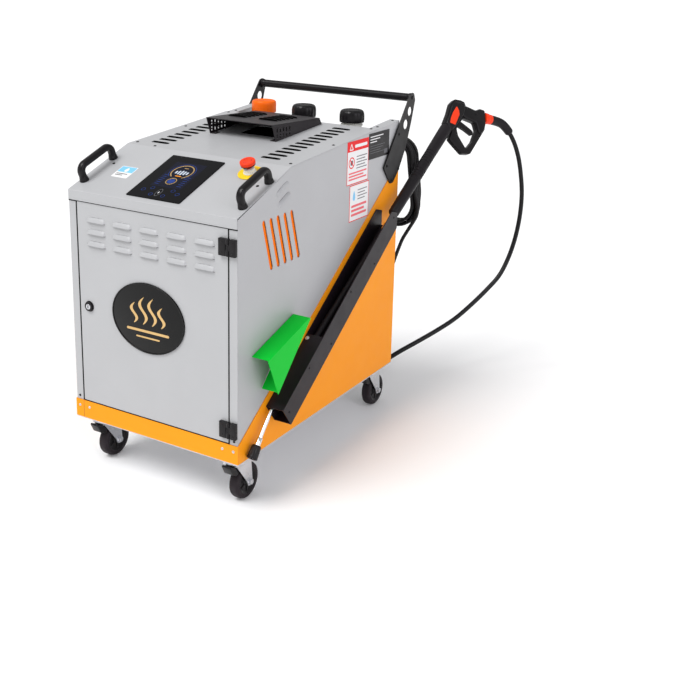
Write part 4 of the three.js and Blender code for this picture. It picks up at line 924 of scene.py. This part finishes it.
def make_lance():
    pipe_end = Vector((298.5, 68, 193))
    bends = [lance_at(-436.3), lance_at(-600), lance_at(-900), LANCE_LOW, (298, 98, 228), pipe_end]
    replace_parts(strand("lance_pipe", smooth_path(bends, 6), 6, STEEL, resolution=8), "lance_tube")
    sleeve = CABINET @ pointing(lance_dir, lance_at(-1000))
    turned("lance_jacket", sleeve, [(6.1, 0), (8.4, 0), (10.2, 2), (10.2, 488), (8.6, 490), (6.1, 490),
                                    (6.1, 0)],
           GRIP, segments=32)
    along = CABINET @ pointing(lance_dir, lance_at(-505))
    turned("lance_union", along, [(5.9, 0), (9.0, 0), (9.5, 0.8), (9.5, 22), (9.0, 23), (8.0, 23), (8.0, 26),
                                  (5.9, 26), (5.9, 0)], BRASS, segments=6, angle=20)
    down = (Vector((298.7, 38, 158)) - pipe_end).normalized()
    nozzle_frame = CABINET @ pointing(down, pipe_end + down * 4)
    turned("nozzle_ferrule", nozzle_frame, [(0, -12), (7.0, -12), (8.2, -10), (8.2, 9), (7.4, 10), (0, 10)],
           STEEL, segments=40)
    profile = [(0, 9), (10.5, 9), (12.4, 10.2), (13, 13), (13.8, 27), (14.8, 41), (15, 45), (14.4, 46),
               (12.2, 46), (11, 35), (0, 35)]
    nozzle = turned("nozzle_sleeve", nozzle_frame, profile, PLASTIC, segments=112, angle=50, ribs=14,
                    depth=0.9, ribbed={3, 4, 5})
    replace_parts(nozzle, "lance_nozzle")

    grip_frame = CABINET @ pointing(lance_dir, lance_at(-436))
    profile = [(0, 0), (12.5, 0), (14.2, 1.6), (16.8, 7), (17.4, 60), (18, 140)]
    for h in (160, 172, 184, 196, 232, 244, 256, 268, 280):
        profile += [(18.4, h), (16.6, h + 1.2), (16.6, h + 5.4), (18.4, h + 6.6)]
    profile += [(18.8, 300), (19.6, 378), (19.8, 408), (19.0, 413.5), (16, 415), (0, 415)]
    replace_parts(turned("lance_sleeve", grip_frame, profile, GRIP, segments=56), "lance_grip")


def make_gun():
    half = 15.0
    full = rounded([
        (-20, -19, 0), (20, -26, 20), (60, -37, 20), (87, -33, 16), (106, -11, 10), (113, 4, 6), (103, 20, 6),
        (128, 55, 10), (148, 66, 12), (160, 84, 4), (121, 114, 4), (100, 122, 10), (-27, 121, 12),
        (-52, 96, 14), (-52, 28, 6), (-20, 21, 0),
    ], 6)
    window = rounded([
        (4, 30, 4), (54, 30, 6), (64, 38, 4), (87, 76, 8), (72, 96, 8), (20, 105, 10), (-26, 99, 6),
        (-12, 48, 10),
    ], 6)
    guard = prism("gun_guard", GUN, [full, window], -8, 8, PLASTIC, bevel=3.5)
    head = rounded([
        (-20, -14, 0), (20, -22, 20), (56, -31, 20), (80, -28, 12), (97, -10, 10), (104, 3, 6), (94, 17, 8),
        (70, 24, 10), (30, 24, 8), (-20, 18, 0),
    ], 6)
    prism("gun_head", GUN, [head], -half, half, PLASTIC, bevel=6, segments=4)
    handle = rounded([
        (60, 10, 8), (104, 14, 8), (126, 55, 10), (146, 66, 12), (158, 84, 6), (121, 112, 6), (98, 120.5, 12),
        (62, 120, 12), (72, 98, 8), (88, 77, 8), (66, 39, 6),
    ], 6)
    prism("gun_handle", GUN, [handle], 1 - half, half - 1, PLASTIC, bevel=6, segments=4)
    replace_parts(guard, "gun_body")
    insert = rounded([(67, -16, 3), (60, 0, 14), (50, 9, 10), (4, 15, 2), (-7, -5, 2), (12, -12, 12),
                      (36, -16, 16)], 5)
    for name, low, high in (("near", -half - 0.9, -half + 0.6), ("far", half - 0.6, half + 0.9)):
        prism("gun_insert_" + name, GUN, [insert], low, high, RED, bevel=0.7)
        ridge = rounded([(80, -20, 4), (90, -8, 5), (81, 4, 4), (74, -8, 4)], 4)
        prism("gun_ridge_" + name, GUN, [ridge], low + 0.2, high - 0.2, PLASTIC, bevel=0.6)
    sides = ((-half, Matrix.Rotation(math.pi, 4, "X")), (half, Matrix()))
    screws = [at(GUN, x, y, z) @ turn for z, turn in sides
              for x, y in ((-6, 2), (112, 62))]
    domes("gun_screws", screws, 3.0, 1.0, BLACK)
    px, py = 30, 24
    lever = rounded([
        (px - 9, py - 6, 6), (px + 8, py - 6, 6), (px + 14, py + 12, 8), (px + 20, py + 36, 10),
        (px + 25, py + 64, 5), (px + 9, py + 71, 5), (px + 1, py + 38, 12), (px - 9, py + 10, 8),
    ], 6)
    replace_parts(prism("trigger_lever", GUN, [lever], -7, 7, PLASTIC, "gun_trigger", bevel=2.6), "gun_trigger")
    latch = rounded([(70, 24, 3), (88, 28, 3), (86, 36, 3), (70, 33, 3)], 4)
    prism("gun_latch", GUN, [latch], -5, 5, RED, bevel=1.2)

    collar_x, collar_y, along_x, along_y = 141.5, 100.5, 0.61, 0.79
    collar_frame = GUN @ pointing(Vector((along_x, along_y, 0)).normalized(), (collar_x, collar_y, 0))
    profile = [(0, 0), (18.4, 0), (19, 1), (19, 13), (18.2, 15), (17, 23), (17, 31), (16, 32), (0, 32)]
    collar = turned("hose_nut", collar_frame, profile, RED, segments=96, angle=50, ribs=12, depth=0.8,
                    ribbed={2, 3, 4})
    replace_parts(collar, "hose_collar")

    def on_collar(h):
        return CABINET.inverted() @ GUN @ Vector((collar_x + along_x * h, collar_y + along_y * h, 0))

    route = smooth_path([on_collar(32.3), on_collar(42), on_collar(51), (414, 1365, 885), (430, 1386, 861),
                         BOOT_END], 3)
    total = length_of(route)
    bm = bmesh.new()
    rings, walked = [], 0.0
    for i, p in enumerate(route):
        if i:
            walked += (p - route[i - 1]).length
        u = walked / total
        radius = 16.3 - 1.6 * u
        if u < 0.12:
            radius = 15 + 1.3 * (u / 0.12) ** 0.5
        if u > 0.9:
            radius = max(8.8, 14.8 * math.sqrt(max(0.0, 1 - ((u - 0.9) / 0.115) ** 2)))
        tangent = (route[min(i + 1, len(route) - 1)] - route[max(i - 1, 0)]).normalized()
        frame_here = CABINET @ pointing(tangent, p)
        rings.append([bm.verts.new(frame_here @ Vector((*polar(radius, a), 0))) for a in circle(40)])
    skin(bm, rings)
    boot = from_bmesh("hose_sleeve", bm, GRIP, angle=50)
    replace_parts(boot, "hose_boot")
    return boot


# ---------------------------------------------------------------- rear
def make_rear():
    gland = at(REAR, -GLAND_X, GLAND_Z, CABINET_DEPTH)
    turned("gland_nut", gland, [(0, 0.3), (15, 0.3), (15.5, 1), (15.5, 8), (14.5, 9.4), (0, 9.4)], PLASTIC,
           segments=6, angle=20)
    profile = [(0, 9), (12.5, 9), (12.8, 10), (12.4, 20), (11, 22)]
    for k in range(5):
        h = 23.5 + 4.4 * k
        r = 9.6 - 0.45 * k
        profile += [(r, h), (r, h + 2.4), (r - 1.4, h + 2.9), (r - 1.4, h + 4.0)]
    profile += [(6.6, 46), (0, 46)]
    relief = turned("gland_relief", gland, profile, PLASTIC, segments=40)
    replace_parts(relief, "cable_gland")

    plug = CABINET @ pointing((0, 0, -1), PLUG_TOP)
    profile = [(0, 0), (8.2, 0), (9.2, 1)]
    for k in range(4):
        h = 3 + 5 * k
        profile += [(9.4 + 0.4 * k, h), (9.4 + 0.4 * k, h + 2.6), (8.2 + 0.4 * k, h + 3.2),
                    (8.2 + 0.4 * k, h + 4.4)]
    profile += [(20, 25), (23, 29), (24, 35), (24, 70), (27, 71.5), (28, 73), (28, 77), (27, 78.5),
                (24, 79.5), (22.4, 82), (22, 106), (21, 108), (19, 108), (19, 84), (0, 84)]
    plug_body = turned("plug_body", plug, profile, PLASTIC, segments=56)
    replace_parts(plug_body, "cable_plug")
    bm = bmesh.new()
    for a in circle(5):
        turned_into(bm, at(plug, *polar(11.5, a), 83.5), [(0, 0), (3, 0), (3, 20), (2, 22), (0, 22)], 16)
    from_bmesh("plug_pins", bm, BRASS)

    screws = [(x, z) for x in (-262, 262) for z in (175, 520, 880)] + [(-90, 175), (90, 175)]
    socket_heads("rear_screws", [at(REAR, x, z, CABINET_DEPTH) for x, z in screws], 4.2, 1.7, BLACK)
    outlet = at(REAR, -OUTLET_X, OUTLET_Z, CABINET_DEPTH)
    turned("outlet_nut", outlet, [(0, 0.4), (16.6, 0.4), (17.2, 1.4), (17.2, 9), (16.4, 10), (0, 10)], BRASS,
           segments=6, angle=20)
    profile = [(0, 9.8), (12, 9.8), (12, 21), (10.4, 23.4)]
    for k in range(5):
        profile += [(9.4, 24.5 + 4.2 * k), (8.2, 27.6 + 4.2 * k)]
    profile += [(8.2, 46), (0, 46)]
    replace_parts(turned("outlet_ferrule", outlet, profile, ZINC, segments=40), "outlet_fitting")
    return relief, plug_body


# ---------------------------------------------------------------- cords
# The gap between the cable's neighbouring turns, and how much of a turn a coil's change of place takes.
TURN_GAP = 12.0
WINDOW = 1 / 8


def ease(t):
    t = min(max(t, 0.0), 1.0)
    return t * t * (3 - 2 * t)


def coil_places(layers, columns, per_turn):
    """(turns, column, layer) along a neatly wound coil that starts and ends in its outermost column.

    A change of column or layer takes a WINDOW of a turn, and each comes a little earlier in its turn
    than the one before it wherever the two would meet.
    """
    changes = []
    lead, across = 2, -1
    for turn in range(1, layers * columns):
        if turn % columns == 0:
            lead += 1
            changes.append((turn - lead * WINDOW, 0, 1))
            across = -across
            lead += 1
        else:
            changes.append((turn - lead * WINDOW, across, 0))
    end = layers * columns - (lead + 1) * WINDOW
    places = []
    for i in range(round(end * per_turn) + 1):
        t = i / per_turn
        column = columns - 1 + sum(c * ease((t - start) / WINDOW) for start, c, _ in changes)
        layer = sum(up * ease((t - start) / WINDOW) for start, _, up in changes)
        places.append((t, column, layer))
    return places


# The hose lies in a floor coil of four layers of three turns.
HOSE_R, HOSE_GAP, HOSE_COIL_R = 7.9, 16.1, 98


def make_hose():
    centre = Vector((-40, 1030, 0))
    lie = HOSE_R + 0.2
    outer = HOSE_COIL_R + 2 * HOSE_GAP

    def ring_point(t, radius, z):
        return centre + Vector((*polar(radius, math.radians(-110) - 2 * math.pi * t), z))

    joining = [ring_point(-WINDOW * (1 - k / 9), outer + 16.4 * (1 - ease(k / 9)), lie) for k in range(9)]
    turns = [ring_point(t, HOSE_COIL_R + HOSE_GAP * out, lie + HOSE_GAP * up)
             for t, out, up in coil_places(4, 3, 96)]
    heading = Vector((6.1, 6.2, -12.5)).normalized()
    run = smooth_path([
        BOOT_END + heading, BOOT_END + heading * 9, (452, 1405, 812), (466, 1414, 764), (477, 1421, 700),
        (484, 1424, 631), (485, 1415, 549), (481, 1390, 470), (471, 1360, 404), (457, 1325, 352),
        (432, 1280, 308), (402, 1222, 264), (368, 1158, 222), (330, 1095, 190), (292, 1032, 163),
        (250, 975, 134), (205, 941, 98),
    ], 6)
    down = (run[-1] - run[-2]).normalized()
    inward = (joining[1] - joining[0]).normalized()
    descent = interpolate_bezier(run[-1], run[-1] + down * 80, joining[0] - inward * 95, joining[0], 36)
    outward = (turns[-1] - turns[-2]).normalized()
    bend = [Vector((OUTLET_X, y, z)) for y, z in arc_points(901, OUTLET_Z - 64, 64, -8, 90, 18)]
    rising = interpolate_bezier(turns[-1], turns[-1] + outward * 150, bend[0] - Vector((0, 14, 99)), bend[0],
                                50)
    path = [*run, *descent[1:], *joining[1:], *turns, *rising[1:], *bend[1:],
            Vector((OUTLET_X, FITTING_END, OUTLET_Z))]
    hose = strand("pressure_hose", path, HOSE_R, HOSE)
    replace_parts(hose, "hose_run", "hose_coil", "hose_tail")


# The mains cable's coil hangs over the rear hook: two half circles joined by straight sides.
HANK_X, HANK_Y, HANK_LOW, HANK_HIGH = 223, 965, 658, 811
HANK_R_LOW, HANK_R_HIGH = 70, 50
PLUG_TOP = Vector((HANK_X - HANK_R_LOW - TURN_GAP / 2, HANK_Y + 1.5 * TURN_GAP, 608))


def hank_point(t, column, layer):
    """The point t turns round the hank, up from 30 degrees under the right side of its lower end."""
    grow = TURN_GAP * (column - 0.5)
    r_low, r_high = HANK_R_LOW + grow, HANK_R_HIGH + grow
    span = HANK_HIGH - HANK_LOW
    tilt = math.asin((r_low - r_high) / span)
    straight = span * math.cos(tilt)
    begin = -math.pi / 6
    y = HANK_Y + TURN_GAP * (layer - 1.5)

    def on_arc(z, radius, angle):
        return Vector((HANK_X + radius * math.cos(angle), y, z + radius * math.sin(angle)))

    def low(angle):
        return on_arc(HANK_LOW, r_low, angle)

    def high(angle):
        return on_arc(HANK_HIGH, r_high, angle)

    left = math.pi - tilt
    parts = (
        (r_low * (tilt - begin), lambda s: low(begin + s / r_low)),
        (straight, lambda s: low(tilt).lerp(high(tilt), s / straight)),
        (r_high * (math.pi - 2 * tilt), lambda s: high(tilt + s / r_high)),
        (straight, lambda s: high(left).lerp(low(left), s / straight)),
        (r_low * (math.pi + tilt + begin), lambda s: low(left + s / r_low)),
    )
    s = (t % 1.0) * sum(length for length, _ in parts)
    for length, place in parts[:-1]:
        if s <= length:
            return place(s)
        s -= length
    return parts[-1][1](s)


def make_cable():
    lead = [
        (GLAND_X, FITTING_END, GLAND_Z), (GLAND_X, 904, GLAND_Z), (GLAND_X, 915, 406.5), (214, 930, 413),
        (219, 941, 428), (226, 947, 450), (235, 947, 478), (246, 947, 510), (257, 947, 539),
        (269, 947, 561.1), (279.5, 947, 579.3), (290, 947, 597.4),
    ]
    # The lead comes in outside the outer turn and has joined it before the sides run straight.
    joining = 12.3 / TURN_GAP
    turns = [hank_point(t, out + joining * (1 - ease(t / WINDOW)), up)
             for t, out, up in coil_places(4, 2, 64)]
    plug_x, plug_y, plug_top = PLUG_TOP
    last = max(i for i, p in enumerate(turns) if p.x < HANK_X and p.z > HANK_LOW and p.y > plug_y - 1)
    down = [turns[last], (plug_x, plug_y, HANK_LOW - 14), (plug_x, plug_y, plug_top + 12),
            (plug_x, plug_y, plug_top)]
    path = [*smooth_path([*lead, turns[0]], 6), *turns[1:last], *smooth_path(down, 6)]
    cable = strand("mains_cable", path, 5.9, CABLE)
    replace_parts(cable, "cable_lead", "cable_hank")


hose_sleeve = make_gun()
relief, plug_body = make_rear()
make_hose()
make_cable()
for make in (make_door, make_front, make_display, make_estop, make_grab_handles, make_panel_sticker,
             make_deck_screws, make_vents, make_side_labels, make_side_pressings, make_holder_fittings,
             make_handle_fittings, make_caps, make_castors, make_lance):
    make()


# ---------------------------------------------------------------- floor and light
def make_stage():
    bm = bmesh.new()
    bmesh.ops.create_grid(bm, x_segments=1, y_segments=1, size=150)
    mesh = bpy.data.meshes.new("floor")
    bm.to_mesh(mesh)
    bm.free()
    floor = new_object("floor", mesh)
    floor.data.materials.append(FLOOR)
    glow = FLOOR.node_tree.nodes["Principled BSDF"].inputs
    glow["Emission Color"].default_value = (1, 1, 1, 1)
    glow["Emission Strength"].default_value = 0.06
    scene = bpy.context.scene
    scene.view_settings.view_transform = "Standard"
    world = bpy.data.worlds.new("world")
    scene.world = world
    world.use_nodes = True
    world.node_tree.nodes["Background"].inputs["Color"].default_value = (1.0, 1.0, 1.0, 1)
    world.node_tree.nodes["Background"].inputs["Strength"].default_value = 0.50
    # (towards the light, strength, spread in degrees, colour)
    for i, (towards, strength, spread, tint) in enumerate((
        ((-0.22, -0.50, 0.84), 2.3, 34, (1, 1, 1)),
        ((0.88, -0.25, 0.42), 0.72, 40, (0.93, 0.90, 1.0)),
    )):
        lamp = bpy.data.lights.new("studio_light_%d" % i, "SUN")
        lamp.energy = strength
        lamp.color = tint
        lamp.angle = math.radians(spread)
        light = new_object("studio_light_%d" % i, lamp)
        light.rotation_euler = Vector(towards).to_track_quat("Z", "Y").to_euler()


make_stage()

# ---------------------------------------------------------------- end
bpy.context.view_layer.update()
